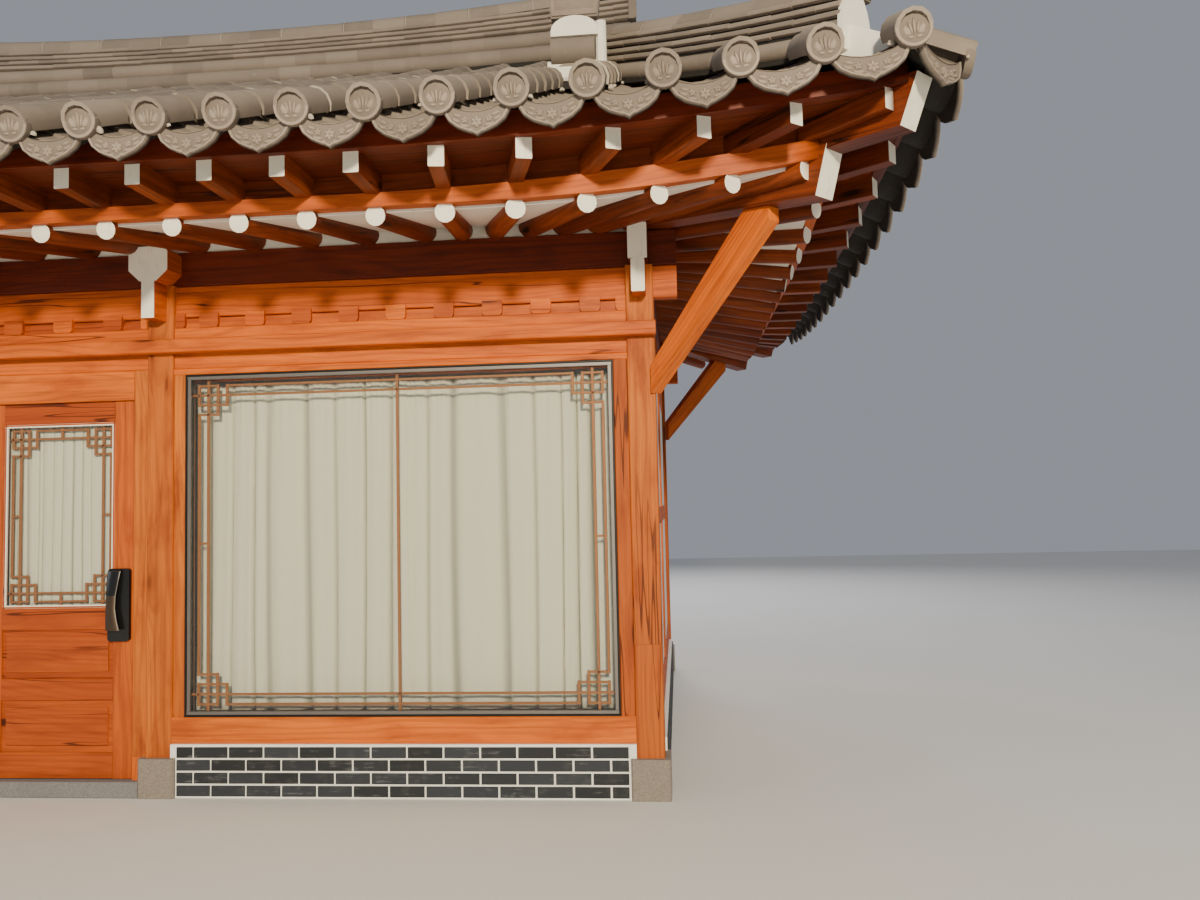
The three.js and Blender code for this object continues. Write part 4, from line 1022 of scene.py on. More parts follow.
def lattice(box, offset, spacing, bar, centre_bar=True):
    """A copper lattice that fills a box; its bars differ a little in depth, so that no faces coincide."""
    left, right, near, far, low, high = box
    bars = lattice_bars(right - left, high - low, offset, spacing, centre_bar)
    form = Form()
    for i, (x0, x1, z0, z1) in enumerate(bars):
        nudge = 0.0004 * (i % 5)
        reach = bar * 0.5 if x0 == x1 else bar * 0.4
        form.bar((left + x0 - reach, near + nudge, low + z0 - reach),
                 (left + x1 + reach, far - nudge, low + z1 + reach), COPPER, 0.0015)
    return form


def metal_frame(box, face, bead, setback):
    """A black frame with an inner bead of grey metal."""
    form = Form()
    form.frame(BLACK, 0.002, box, face)
    near = box[2] + setback
    form.frame(SILVER, 0.002, within(box, face, near, near + 0.018), bead)
    return form


def fold_line(width, fold, lots):
    """Uneven folds across a curtain: gives the number and the depth of the fold at a share of the width."""
    marks, depths = [0.0], []
    while marks[-1] < width:
        marks.append(marks[-1] + fold * lots.choice((0.45, 0.8, 1.0, 1.2, 1.5)) * lots.uniform(0.85, 1.15))
        depths.append(lots.uniform(0.65, 1.0))
    depths.append(depths[0])

    def at(share):
        place = share * width
        k = next(i for i in range(len(marks) - 1) if marks[i + 1] >= place)
        local = (place - marks[k]) / (marks[k + 1] - marks[k])
        ease = local * local * (3 - 2 * local)
        return k + local, depths[k] + (depths[k + 1] - depths[k]) * ease
    return at


def pleated_sheet(x0, x1, z0, z1, y, depth, fold, seed):
    """A curtain whose folds wander, pinch at the heading and open at the hem; also its flat width."""
    lots = random.Random(seed)
    wave_at = fold_line(x1 - x0, fold, lots)
    rows, columns = shares(26), shares(max(60, round((x1 - x0) / fold * 30)))
    phases = [lots.uniform(0, 6.28) for _ in range(4)]

    def point(s, t):
        wander = 0.012 * math.sin(2.2 * t + 9 * s + phases[0]) * t
        place, swell = wave_at(min(1, max(0, s + wander)))
        edge = abs(place - round(place))
        width = 0.10 + 0.05 * math.sin(5 * round(place) + phases[1])
        valley = math.exp(-(edge / width) ** 2)
        swing = 0.12 * math.sin(4 * math.pi * place + phases[2] + 1.3 * t)
        wave = 0.42 + 0.36 * math.sin(math.pi * (place % 1)) - 1.4 * valley + swing * (1 - valley)
        pinch = 0.25 * math.exp(-t * 14) * math.sin(9 * math.pi * place + phases[3])
        out = depth * -0.5 * (wave + pinch) * swell * (0.78 + 0.22 * t)
        return Vector((x0 + (x1 - x0) * s, y + out, z1 + (z0 - z1) * t))

    grid = [[point(s, t) for s in columns] for t in rows]
    middle = grid[len(rows) // 2]
    flat_width = sum((q - p).length for p, q in zip(middle, middle[1:]))
    form = Form()
    form.sheet(grid, CLOTH, [[(flat_width * s, (z1 - z0) * t) for s in columns] for t in rows])
    return form, flat_width


def hang_curtain(name, node, body, edges, drop, y, depth, fold, seed):
    """Hangs a pleated curtain between two X and two Z; its creases carry painted shade for the cloth finish.
    """
    form, flat_width = pleated_sheet(*edges, *drop, y, depth, fold, seed)
    piece = form.build(name, node, "curtain", body)
    # Painted shade: the deeper the cloth lies in a fold, the darker
    crease = piece.data.attributes.new("crease", "FLOAT", "POINT")
    crease.data.foreach_set("value", [max(0.0, (v.co.y - y) / depth * 2.2) for v in piece.data.vertices])
    shell = piece.modifiers.new("Cloth thickness", "SOLIDIFY")
    shell.thickness = 0.0008
    shell.offset = 0
    round(drop[1] - drop[0], 3)


class HANOK_OT_windows(bpy.types.Operator):
    """Front windows: timber surround, black frame, lattice, panes and curtains"""

    bl_idname = "hanok.windows"
    bl_label = "Front windows"

    def execute(self, context):
        sizes = context.scene.hanok_sizes
        y = -HALF_DEPTH
        depth = (y - 0.060, y + 0.050)
        post_near, post_far = DOOR_POST_X + HALF_POST, HALF_LENGTH - HALF_POST
        for name, side in SIDES:
            node = f"window_{name}"
            bay = span(side, post_near, post_far)
            wood = Form()
            wood.bars(PINE, 0.005, (*bay, y - 0.070, depth[1], PLINTH_TOP, SILL_TOP))
            wood.bars(PINE, 0.004, (*bay, *depth, WINDOW_TOP, LINTEL_BOTTOM))
            for a, b in ((post_near, WINDOW_NEAR), (WINDOW_FAR, post_far)):
                wood.bars(POST_PINE, 0.004, (*span(side, a, b), *depth, SILL_TOP, WINDOW_TOP))
            wood.bars(PINE, 0.003, (*bay, depth[1], y + 0.122, 2.3205, LINTEL_BOTTOM))
            surround = wood.build(f"window_surround_timber_{name}", f"window_surround_{name}", "pine")
            x0, x1 = span(side, WINDOW_NEAR, WINDOW_FAR)
            box = (x0, x1, y - 0.062, y + 0.020, SILL_TOP, WINDOW_TOP)
            metal_frame(box, 0.010, 0.020, 0.006).build(f"window_frame_{name}", node, "black_metal")
            bars = lattice(within(box, 0, y - 0.026, y - 0.014), 0.062, 0.055, sizes.lattice_bar)
            bars.build(f"window_lattice_{name}", node, "bronze")
            panes = Form()
            for out in (-0.040, -0.008):
                panes.bars(GLASS, 0.0005, within(box, 0.024, y + out, y + out + 0.004))
            panes.build(f"window_panes_{name}", node, "glass")
            drop, middle = (FLOOR_TOP + 0.022, 2.296), side * 1.970
            for half, edges, behind in (("a", (x0 - 0.018, middle + 0.020), 0.088),
                                        ("b", (middle - 0.005, x1 + 0.018), 0.096)):
                seed = 11 + len(name) + ord(half)
                hang_curtain(f"curtain_{name}_{half}", f"curtain_{name}", "house", edges, drop, y + behind,
                             0.052, sizes.fold_width, seed)
        return {"FINISHED"}


# Walls


class HANOK_OT_walls(bpy.types.Operator):
    """Plastered side and rear walls with their timbers and the rear windows"""

    bl_idname = "hanok.walls"
    bl_label = "Side and rear walls"

    def execute(self, context):
        end, post = HALF_DEPTH - HALF_POST, 0.060
        rail, rail_top = 1.420, 1.530
        for name, side in SIDES:
            x = side * HALF_LENGTH
            face, rail_face = (x - 0.058, x + 0.058), (x - 0.0575, x + 0.0575)
            form = Form()
            form.bars(PLASTER, 0.0005, (x - 0.045, x + 0.045, -end, end, PLINTH_TOP, LINTEL_BOTTOM))
            form.bars(PINE, 0.005, (*face, -end, end, PLINTH_TOP, SILL_TOP),
                      (*face, -post, post, SILL_TOP, LINTEL_BOTTOM),
                      (*rail_face, -end, -post, rail, rail_top), (*rail_face, post, end, rail, rail_top))
            form.build(f"{name}_wall_panels", f"{name}_wall", "plaster")
        self.rear(context.scene.hanok_sizes.lattice_bar)
        return {"FINISHED"}

    def rear(self, bar):
        y = HALF_DEPTH
        near, far, bottom, top = 1.363, 2.575, 1.200, 2.109
        form = Form()
        for (a, b), hole in zip(BAYS, (span(-1, near, far), None, span(1, near, far))):
            x0, x1 = a + HALF_POST, b - HALF_POST
            parts = [(x0, x1, PLINTH_TOP, LINTEL_BOTTOM)]
            if hole:
                parts = [(x0, hole[0], PLINTH_TOP, LINTEL_BOTTOM), (hole[1], x1, PLINTH_TOP, LINTEL_BOTTOM),
                         (*hole, PLINTH_TOP, bottom), (*hole, top, LINTEL_BOTTOM)]
            for left, right, z0, z1 in parts:
                form.bars(PLASTER, 0.0005, (left, right, y - 0.104, y + 0.045, z0, z1))
            for z0, z1 in ((PLINTH_TOP, SILL_TOP), (bottom - 0.110, bottom)):
                form.bars(PINE, 0.005, (x0, x1, y - 0.010, y + 0.058, z0, z1))
        form.build("rear_wall_panels", "rear_wall", "plaster")
        for name, side in SIDES:
            node = f"rear_window_{name}"
            box = (*span(side, near, far), y - 0.020, y + 0.062, bottom, top)
            metal_frame(box, 0.045, 0.014, 0.052).build(f"rear_frame_{name}", node, "black_metal")
            bars = lattice(within(box, 0.040, y + 0.006, y + 0.016), 0.040, 0.045, bar)
            bars.build(f"rear_lattice_{name}", node, "bronze")
            pane = Form()
            pane.bars(GLASS, 0.0005, within(box, 0.045, y + 0.024, y + 0.029))
            pane.build(f"rear_pane_{name}", node, "glass")


# Door

DOOR_X = (-0.457, 0.439)
DOOR_Z = (0.093, 2.207)
DOOR_FACE = -1.868
DOOR_BACK = -1.823
DOOR_GLASS = (-0.347, 0.322, DOOR_FACE, DOOR_BACK, 1.040, 2.092)


def rounded(width, height, radius):
    """A rectangle with rounded corners, anticlockwise about its middle."""
    points = []
    for quarter, (side, rise) in enumerate(((1, -1), (1, 1), (-1, 1), (-1, -1))):
        start = math.pi / 2 * (quarter - 1)
        points += [(side * (width / 2 - radius) + x, rise * (height / 2 - radius) + z)
                   for x, z in arc(4, start, start + math.pi / 2, radius)]
    return points


class HANOK_OT_door(bpy.types.Operator):
    """Door jambs and head, the glazed leaf, its curtain, lock and pull handle"""

    bl_idname = "hanok.door"
    bl_label = "Door"

    def execute(self, context):
        self.surround()
        self.leaf()
        self.glazing(context.scene.hanok_sizes.lattice_bar)
        self.lock()
        return {"FINISHED"}

    def surround(self):
        form = Form()
        y = -HALF_DEPTH
        post, stone = DOOR_POST_X - HALF_POST, DOOR_POST_X - STONE_HALF
        jamb, stop = (y - 0.060, y), (y, y + 0.050)
        jamb_x, stop_x = (-0.462, 0.444), (-0.435, 0.417)
        for k, side in enumerate((-1, 1)):
            for outer, inner, depth, low, high, finish, chamfer in (
                (post, jamb_x, jamb, STONE_TOP, LINTEL_BOTTOM, POST_PINE, 0.004),
                (post, stop_x, stop, STONE_TOP, LINTEL_BOTTOM, PINE, 0.003),
                (stone, jamb_x, jamb, STEP_TOP, STONE_TOP, PINE, 0.003),
                (stone, stop_x, stop, STEP_TOP, STONE_TOP, PINE, 0.003),
            ):
                form.bars(finish, chamfer, (*sorted((side * outer, inner[k])), *depth, low, high))
        form.bars(PINE, 0.004, (*jamb_x, *jamb, 2.212, LINTEL_BOTTOM))
        form.bars(PINE, 0.003, (*stop_x, *stop, 2.185, LINTEL_BOTTOM))
        form.build("door_jambs", "door_surround", "pine")

    def leaf(self):
        form = Form()
        g0, g1, y0, y1, low, high = DOOR_GLASS
        x0, x1 = DOOR_X
        # The leaf takes a darker pine than the frame, as painted shade
        form.bars(MID_PINE, 0.003, (x0, g0, y0, y1, *DOOR_Z), (g1, x1, y0, y1, *DOOR_Z))
        rails = (DOOR_Z[0], 0.237, 0.524, 0.646, 0.918, low, high, DOOR_Z[1])
        for a, b in zip(rails[::2], rails[1::2]):
            form.bars(MID_PINE, 0.003, (g0, g1, y0 + 0.0005, y1 - 0.0005, a, b))
        for a, b in ((0.237, 0.524), (0.646, 0.918)):
            form.bars(MID_PINE, 0.001, (g0, g1, y0 + 0.010, y1 - 0.010, a, b))
            form.bars(MID_PINE, 0.004, (g0 + 0.030, g1 - 0.030, y0 + 0.005, y1 - 0.005, a + 0.034, b - 0.034))
        bead = 0.012
        form.frame(MID_PINE, 0.003, within(DOOR_GLASS, 0, y0 + 0.003, y0 + 0.015), bead, lap=bead)
        for z in (0.300, 1.100, 1.900):
            form.tube((x0, y0, z), (x0, y0, z + 0.100), (0.009, 0.009), 16, BLACK, BLACK, INWARD)
        form.build("door_leaf_timber", "door_leaf", "dark_pine", "door")

    def glazing(self, bar):
        pane = Form()
        for depth in (0.016, 0.036):
            pane.bars(GLASS, 0.0005, within(DOOR_GLASS, 0, DOOR_FACE + depth, DOOR_FACE + depth + 0.004))
        pane.build("door_panes", "door_glass", "glass", "door")
        seal = Form()
        seal.frame(PAINT, 0.001, within(DOOR_GLASS, 0, DOOR_FACE + 0.0045, DOOR_FACE + 0.0155), 0.018)
        seal.build("door_seal", "door_glass", "glass", "door")
        bars = lattice(within(DOOR_GLASS, 0, DOOR_FACE + 0.023, DOOR_FACE + 0.033), 0.036, 0.048, bar, False)
        rest = bars.build("door_lattice", "door_glass", "bronze", "door")
        x0, x1, _, _, z0, z1 = within(DOOR_GLASS, -0.010, 0, 0)
        hang_curtain("door_curtain_cloth", "door_curtain", "door", (x0, x1), (z0, z1), DOOR_BACK + 0.013,
                     0.018, 0.060, 4)

    def lock(self):
        case = Form()
        x0, x1, low, high = 0.303, 0.430, 0.855, 1.260
        middle = ((x0 + x1) / 2, DOOR_FACE - 0.024, (low + high) / 2)
        case.prism(rounded(x1 - x0, high - low, 0.016), middle, ACROSS, 0.024, GLOSS_BLACK)
        case.build("lock_case", "door_lock", "black_metal", "door")
        pull = Form()
        left = 0.311
        # Right edge, depth before the door and height down the waisted plate
        edge = [(x, DOOR_FACE - out, z) for x, out, z in (
            (0.386, 0.034, 1.250), (0.386, 0.042, 1.246), (0.380, 0.050, 1.200), (0.366, 0.055, 1.110),
            (0.364, 0.058, 1.040), (0.374, 0.060, 0.980), (0.388, 0.058, 0.918))]
        for part, finish in ((edge[:4], GLOSS_BLACK), (edge[3:], BRONZE)):
            stations = []
            for right, near, z in reversed(part):
                eased, far = near + 0.004, near + 0.014
                outline = ((left, eased), (left + 0.006, near), (right - 0.006, near), (right, eased),
                           (right, far), (left, far))
                stations.append([(x, y, z) for x, y in outline])
            pull.loft(stations, finish, finish, smooth=True)
        # A thin silver line along the plate's edge is a painted highlight
        painted_highlight = [Vector(point) + Vector((0, 0.004, 0)) for point in edge[1:]]
        for start, end in zip(painted_highlight, painted_highlight[1:]):
            pull.tube(start, end, (0.0022, 0.0022), 6, SILVER, up=ACROSS)
        pin = DOOR_FACE - 0.029
        pull.tube((0.317, pin, 1.248), (0.378, pin, 1.248), (0.007, 0.007), 12, BLACK, BLACK)
        pull.build("lock_pull", "door_handle", "bronze", "handle")


# Eaves

RAFTER_OUT = 0.900
RAFTER_PITCH = 0.324
FLYING_OUT = 1.215
FLYING_DEPTH = 0.100
WALL_CENTRE = PURLIN_TOP + 0.060
HALF_BED = 0.0375


class RafterLine:
    """One rafter: how far it leans to the corner, and its heights."""

    def __init__(self, half, x):
        self.x = x
        self.from_corner = half + RAFTER_OUT - abs(x)
        self.lean = math.copysign(self.nearness(2.050), x)
        self.tip = 2.925 + 0.125 * self.nearness(1.600) ** 2
        self.flying = 3.114 + 0.150 * self.nearness(2.200) ** 2

    def nearness(self, run):
        """1 at the corner, falling to 0 at the end of a run from it."""
        return max(0, 1 - self.from_corner / run)

    def at(self, out):
        return self.x + self.lean * (out - RAFTER_OUT)

    def centre(self, out):
        return WALL_CENTRE + (self.tip - WALL_CENTRE) * out / RAFTER_OUT


def rafter_lines(half):
    first = half + RAFTER_OUT - 0.105
    return [RafterLine(half, x) for x in spread(first, round(2 * first / RAFTER_PITCH))]


def eave_strips(line):
    """The plaster and the boards along an eave: the finish of each, and its section at a rafter."""
    inner = 0.872
    plaster = line.centre(inner)
    top, foot = line.flying, line.flying - FLYING_DEPTH
    end = FLYING_OUT - 0.010
    rim = bed_height(EAVE - 1.225, line.from_corner + 0.350) - 0.012
    # The boards take darker pines than their wood and the fascia the darkest, as painted shade under the
    # tiles
    return (
        (PLASTER, ((-HALF_BED, WALL_CENTRE + 0.030), (inner, plaster + 0.014), (inner, plaster + 0.050),
                   (-HALF_BED, WALL_CENTRE + 0.066))),
        (MID_PINE, ((0.866, line.tip + 0.034), (0.932, line.tip + 0.034), (0.938, foot + 0.006),
                    (0.866, foot + 0.006))),
        (RAFTER_PINE, ((0.880, foot), (0.905, foot), (0.905, top + 0.004), (0.880, top + 0.004))),
        (RAFTER_PINE, ((0.870, top), (end, top), (end, top + 0.020), (0.870, top + 0.020))),
        (PAINTED_SHADE_PINE, ((1.190, top - 0.008), (1.250, top - 0.008), (1.250, rim), (1.190, rim + 0.025))),
    )


def trim_to_hips(piece, half, depth):
    """Cuts an eave back to the sides of the hip rafters."""
    clear = 0.0628
    work = bmesh.new()
    work.from_mesh(piece.data)
    for side in (-1, 1):
        normal = Vector((side, 1, 0)).normalized()
        corner = Vector((side * half, -depth, 0))
        result = bmesh.ops.bisect_plane(
            work, geom=work.verts[:] + work.edges[:] + work.faces[:], dist=1e-5,
            plane_co=corner - normal * clear, plane_no=normal, clear_outer=True)
        rim = [edge for edge in result["geom_cut"] if isinstance(edge, bmesh.types.BMEdge)]
        bmesh.ops.holes_fill(work, edges=rim, sides=0)
    work.to_mesh(piece.data)
    work.free()


class HANOK_OT_eaves(bpy.types.Operator):
    """Round rafters, plaster, boards and flying rafters of the four eaves"""

    bl_idname = "hanok.eaves"
    bl_label = "Eaves"

    def execute(self, context):
        for name, turn in TURNS.items():
            half, depth = (HALF_LENGTH, HALF_DEPTH) if turn % 180 == 0 else (HALF_DEPTH, HALF_LENGTH)
            for label, make in (
                ("boards", self.boards), ("rafters", self.rafters), ("flying_rafters", self.flying),
            ):
                piece = make(half, depth).build(f"{name}_{label}", f"{name}_rafters", "dark_pine")
                trim_to_hips(piece, half, depth)
                piece.data.transform(Matrix.Rotation(math.radians(turn), 4, "Z"))
        return {"FINISHED"}

    def boards(self, half, depth):
        form = Form()
        lines = [RafterLine(half, x) for x in spread(half + RAFTER_OUT, 36)]
        for strip in zip(*(eave_strips(line) for line in lines)):
            stations = [[(line.at(out), -depth - out, z) for out, z in section]
                        for line, (_, section) in zip(lines, strip)]
            form.loft(stations, strip[0][0])
        form.bars(PLASTER, 0.0005, (-half - HALF_BED, half + HALF_BED, -depth - HALF_BED, HALF_BED - depth,
                                    PURLIN_TOP, 3.160))
        return form

    def rafters(self, half, depth):
        form = Form()
        for line in rafter_lines(half):
            seat, tip = ((line.at(out), -depth - out, line.centre(out)) for out in (0, RAFTER_OUT))
            form.tube(seat, tip, (0.060, 0.0475), 14, RAFTER_PINE, PAINT)
        return form

    def flying(self, half, depth):
        form = Form()
        for line in rafter_lines(half):
            z = line.flying - FLYING_DEPTH / 2 + 0.003
            inner, outer = ((line.at(out), -depth - out, z) for out in (0.890, FLYING_OUT))
            form.timber(inner, outer, 0.070, FLYING_DEPTH + 0.006, UP, 0.003, RAFTER_PINE, PAINT)
        return form


class HANOK_OT_hip_rafters(bpy.types.Operator):
    """Hip rafters on the diagonals, with painted ends"""

    bl_idname = "hanok.hip_rafters"
    bl_label = "Hip rafters"

    def execute(self, context):
        fall = 0.184
        under, over = PURLIN_TOP + 0.0003 + fall * 0.0965, 3.125 + fall * 0.918
        lower = [(-0.250, under + fall * 0.250), (0.870, under - fall * 0.870), (0.918, 3.125),
                 (-0.250, over + fall * 0.250)]
        upper = [(0.300, over - fall * 0.300 - 0.020), (0.918, 3.105), (1.171, 3.085), (1.232, 3.282),
                 (0.700, 3.345), (0.300, 3.390)]
        for name, signs in CORNERS.items():
            form = Form()
            # The last value is the side of the outline that is the timber's end face
            for outline, width, painted in ((lower, 0.125, 1), (upper, 0.115, 2)):
                first = len(form.faces)
                diagonal(form, outline, width, RAFTER_PINE)
                form.finishes[first + painted] = PAINT
            form.build(f"hip_timbers_{name}", f"hip_rafter_{name}", "dark_pine", mirror=signs)
        return {"FINISHED"}


# Roof

COVER_PITCH = 0.306
COVER_RISE = 0.092
CORNER_COVER = 0.250
PAN_HOLLOW = 0.060
PAN_LIFT = 0.018
PAN_THICKNESS = 0.020


def cover_places(half_eave):
    """Where the cover tiles start along an eave, from corner to corner."""
    first = half_eave - 0.918
    left = [CORNER_COVER - half_eave, 0.590 - half_eave]
    return left + spread(first, round(2 * first / COVER_PITCH)) + [-x for x in reversed(left)]


class Slope:
    """One side of the roof in its own frame: x along the eave, inward up the slope."""

    def __init__(self, name):
        self.turn = Matrix.Rotation(math.radians(TURNS[name]), 3, "Z")
        self.main = name in ("front", "rear")
        self.half, self.out = (EAVE_X, EAVE_Y) if self.main else (EAVE_Y, EAVE_X)

    def reach(self, x):
        """How far up a column runs before it meets the hip, the gable or the ridge."""
        hip = self.half - abs(x)
        if self.main:
            return EAVE_Y - 0.060 if abs(x) <= VERGE_X + 0.001 else hip
        return min(hip, VERGE_IN)

    def point(self, x, inward, rise=0.0):
        z = bed_height(inward, max(0.0, self.half - abs(x))) + rise
        return Vector((x, inward - self.out, z))

    def place(self, x, inward, rise, size=(1, 1, 1), sag=0.0):
        """A tile's place above the slope, turned along it; sag tips its length down."""
        step, middle = 0.02, max(inward, 0.02)
        along = (self.point(x + step, middle) - self.point(x - step, middle)).normalized()
        up = (self.point(x, middle + step) - self.point(x, middle - step)).normalized() - UP * sag
        spot = self.point(x, inward) + along.cross(up).normalized() * rise
        return (self.turn @ spot, axes_turn(self.turn @ along, self.turn @ up), size)


def pan_sheet(slope, exposure):
    """The pan tiles between the covers, each overlapping the one below."""
    edges = cover_places(slope.half)
    columns = [(edges[-1], 1.0)]
    for a, b in zip(edges, edges[1:]):
        columns += [(a + (b - a) * t, (2 * t - 1) ** 2) for t in (0, 0.2, 0.4, 0.6, 0.8)]
    if slope.main:
        columns += [(sign * (VERGE_X + nudge), 0.6) for sign in (-1, 1) for nudge in (0.0, 0.004)]
    columns.sort()
    longest = max(slope.reach(x) for x, _ in columns)
    rows = [(0.0, 0.0)]
    while rows[-1][0] + exposure < longest:
        inward = rows[-1][0] + exposure
        rows += [(inward, 0.0), (inward, PAN_LIFT)]
    rows.append((longest, 0.0))
    grid = []
    for x, cup in columns:
        limit = slope.reach(x)
        grid.append([slope.point(x, min(inward, limit), PAN_HOLLOW * cup + (lift if inward < limit else 0.0))
                     for inward, lift in rows])
    form = Form()
    form.sheet(grid, TILE)
    return form


def corner_pan():
    """The pan on the diagonal of the front right corner, between the last cover of each slope."""
    grid = []
    for share in spread(1, 12):
        line = []
        for inward, lift in ((0.0, 0.0), (0.125, 0.0), (0.125, PAN_LIFT), (CORNER_COVER, PAN_LIFT)):
            a = Vector((EAVE_X - CORNER_COVER, inward - EAVE_Y, 0))
            b = Vector((EAVE_X - inward, CORNER_COVER - EAVE_Y, 0))
            rise = bed_height(inward, CORNER_COVER) + lift + PAN_HOLLOW * share * share
            line.append(a + (b - a) * (share + 1) / 2 + UP * rise)
        grid.append(line)
    form = Form()
    form.sheet(grid, TILE)
    return form


def thicken(piece):
    """Gives a tile sheet its thickness, downwards."""
    shell = piece.modifiers.new("Tile thickness", "SOLIDIFY")
    shell.thickness = PAN_THICKNESS
    shell.offset = -1
    # The underside is painted in shade
    piece.data.materials.append(FINISHES[PAINTED_SHADE_TILE])
    shell.material_offset = 1


def cover_shape(radius, exposure):
    """One cover tile: an arch that is a little wider at its lower end."""
    form = Form()
    start, end = math.radians(-28), math.radians(208)
    stations = []
    for y, grow in ((exposure * 0.985, 0.972), (-0.012, 1.0)):
        outer, inner = (arc(8, start, end, r * grow) for r in (radius, radius - 0.016))
        stations.append([(x, y, z) for x, z in outer + inner[::-1]])
    form.loft(stations, TILE, smooth=True)
    return shape_of(form, "cover_tile")


def petal(form, at, root, angle, reach, width, tall, bend=0.0):
    """A raised leaf on a plate, from its root along an angle; bend curls its tip."""
    angle, bend = math.radians(angle), math.radians(bend)

    def spot(a, b):
        spine = angle + bend * a / 2
        turn = angle + bend * a
        return (root[0] + reach * a * math.cos(spine) + width * b * math.sin(turn),
                root[1] + reach * a * math.sin(spine) - width * b * math.cos(turn))

    outline = ((0.0, 0.3), (0.3, 1.0), (0.7, 0.85), (1.0, 0.0), (0.7, -0.85), (0.3, -1.0), (0.0, -0.3))
    rim = [spot(a, b) for a, b in outline]
    crest = [spot(0.14 + 0.72 * a, b * 0.35) for a, b in outline]
    for (p, q), (a, b) in zip(pairs(rim), pairs(crest)):
        form.face([at(p, 0), at(q, 0), at(b, tall), at(a, tall)], [p, q, b, a], PAINTED_LIGHT_TILE, True)
    form.face([at(point, tall) for point in crest], crest, PAINTED_LIGHT_TILE, True)


def raised_band(form, at, outer, inner, tall):
    """A band that stands proud of a plate, between two outlines."""
    for (p, q), (a, b) in zip(pairs(outer), pairs(inner)):
        form.face([at(p, tall), at(q, tall), at(b, tall), at(a, tall)], [p, q, b, a], PAINTED_LIGHT_TILE)
        for first, second in ((q, p), (a, b)):
            form.face([at(first, tall), at(second, tall), at(second, 0), at(first, 0)],
                      [(0, 0), (0.1, 0), (0.1, 0.01), (0, 0.01)], PAINTED_LIGHT_TILE)


def shrunk(outline, share):
    """An outline drawn in towards its middle."""
    middle = [sum(point[k] for point in outline) / len(outline) for k in (0, 1)]
    return [tuple(middle[k] + (point[k] - middle[k]) * share for k in (0, 1)) for point in outline]


def disc_shape(radius):
    """An eave disc: a rim, a sunken field and a raised lotus figure."""
    form = Form()
    field = -0.0085
    # How far within the edge, and how deep, from the back to the field
    profile = ((radius, 0.030), (0.002, 0.026), (0, 0.020), (0, -0.009), (0.003, -0.012), (0.012, -0.012),
               (0.015, -0.006), (0.019, -0.006), (0.022, field), (radius, field))
    rings = [[(x, y, z) for x, z in circle(24, radius - inset)] for inset, y in profile]
    for near, far in zip(rings, rings[1:]):
        for (p, q), (a, b) in zip(pairs(near), pairs(far)):
            corners = list(dict.fromkeys((p, q, b, a)))
            form.face(corners, [(x, z) for x, _, z in corners], PAINTED_LIGHT_TILE)

    def at(point, push):
        return Vector((point[0], field - 0.0005 - push, point[1]))

    petal(form, at, (0, -0.032), 90, 0.070, 0.0078, 0.0078)
    leaves = ((0.010, -0.028, 5, 0.056, 0.0072, 0.0068, -18), (0.014, -0.026, 64, 0.046, 0.0165, 0.0058, 72),
              (0.004, -0.038, 92, 0.028, 0.0080, 0.0048, 24))
    for side in (-1, 1):
        for x, z, angle, reach, wide, thick, bend in leaves:
            petal(form, at, (side * x, z), 90 - side * angle, reach, wide, thick, side * bend)
    # The sunken field carries painted shade
    return shape_of(form, "eave_disc", (field - 0.001, -0.005))


def drip_shape(width, tall):
    """An eave drip tile: a plate hung from the pan's edge, with a border and a leaf spray."""
    form = Form()
    half, rise, face = width / 2, 0.046, -0.012
    right = [(0.12, -0.92), (0.30, -0.86), (0.55, -0.75), (0.80, -0.55), (0.95, -0.28)]
    outline = [(half * t, rise * t * t) for t in spread(-1, 8)]
    outline += [(half * x, rise + (tall + 0.010) * z) for x, z in mirrored(right) + [(0, -1)] + right]
    form.prism(outline, (0, face, 0), ACROSS, 0.020, PAINTED_LIGHT_TILE)

    def at(point, push):
        return Vector((point[0], face - push, point[1]))

    raised_band(form, at, shrunk(outline, 0.97), shrunk(outline, 0.88), 0.0055)
    middle = -tall * 0.34
    for k in range(6):
        petal(form, at, (0, middle), 90 + 60 * k, 0.026, 0.0110, 0.009)
    leaves = ((0.028, -0.012, -14, 0.050, 0.0100, 0.007, 50), (0.066, 0.006, 10, 0.044, 0.0095, 0.007, 30),
              (0.062, 0.024, 34, 0.040, 0.0085, 0.006, -30), (0.014, -0.024, -40, 0.028, 0.0085, 0.006, 60))
    for side in (-1, 1):
        straight = 90 - side * 90
        for k in range(5):
            petal(form, at, (side * 0.050, middle + 0.012), 90 + 72 * k, 0.016, 0.0075, 0.007)
        for x, z, angle, reach, wide, thick, bend in leaves:
            petal(form, at, (side * x, middle + z), straight + side * angle, reach, wide, thick, side * bend)
    # The plate around the relief carries painted shade, and its back is painted black as shade
    return shape_of(form, "eave_drip", (face - 0.001, face + 0.001), 2.0)


def lump_shape():
    """A dab of bedding mortar."""
    form = Form()
    rings = ((0.020, -0.012), (0.018, 0.004), (0.008, 0.012))
    form.loft([[(x, y, z) for x, y in circle(7, r, r * 0.7)] for r, z in rings], PLASTER, smooth=True)
    return shape_of(form, "mortar_dab")


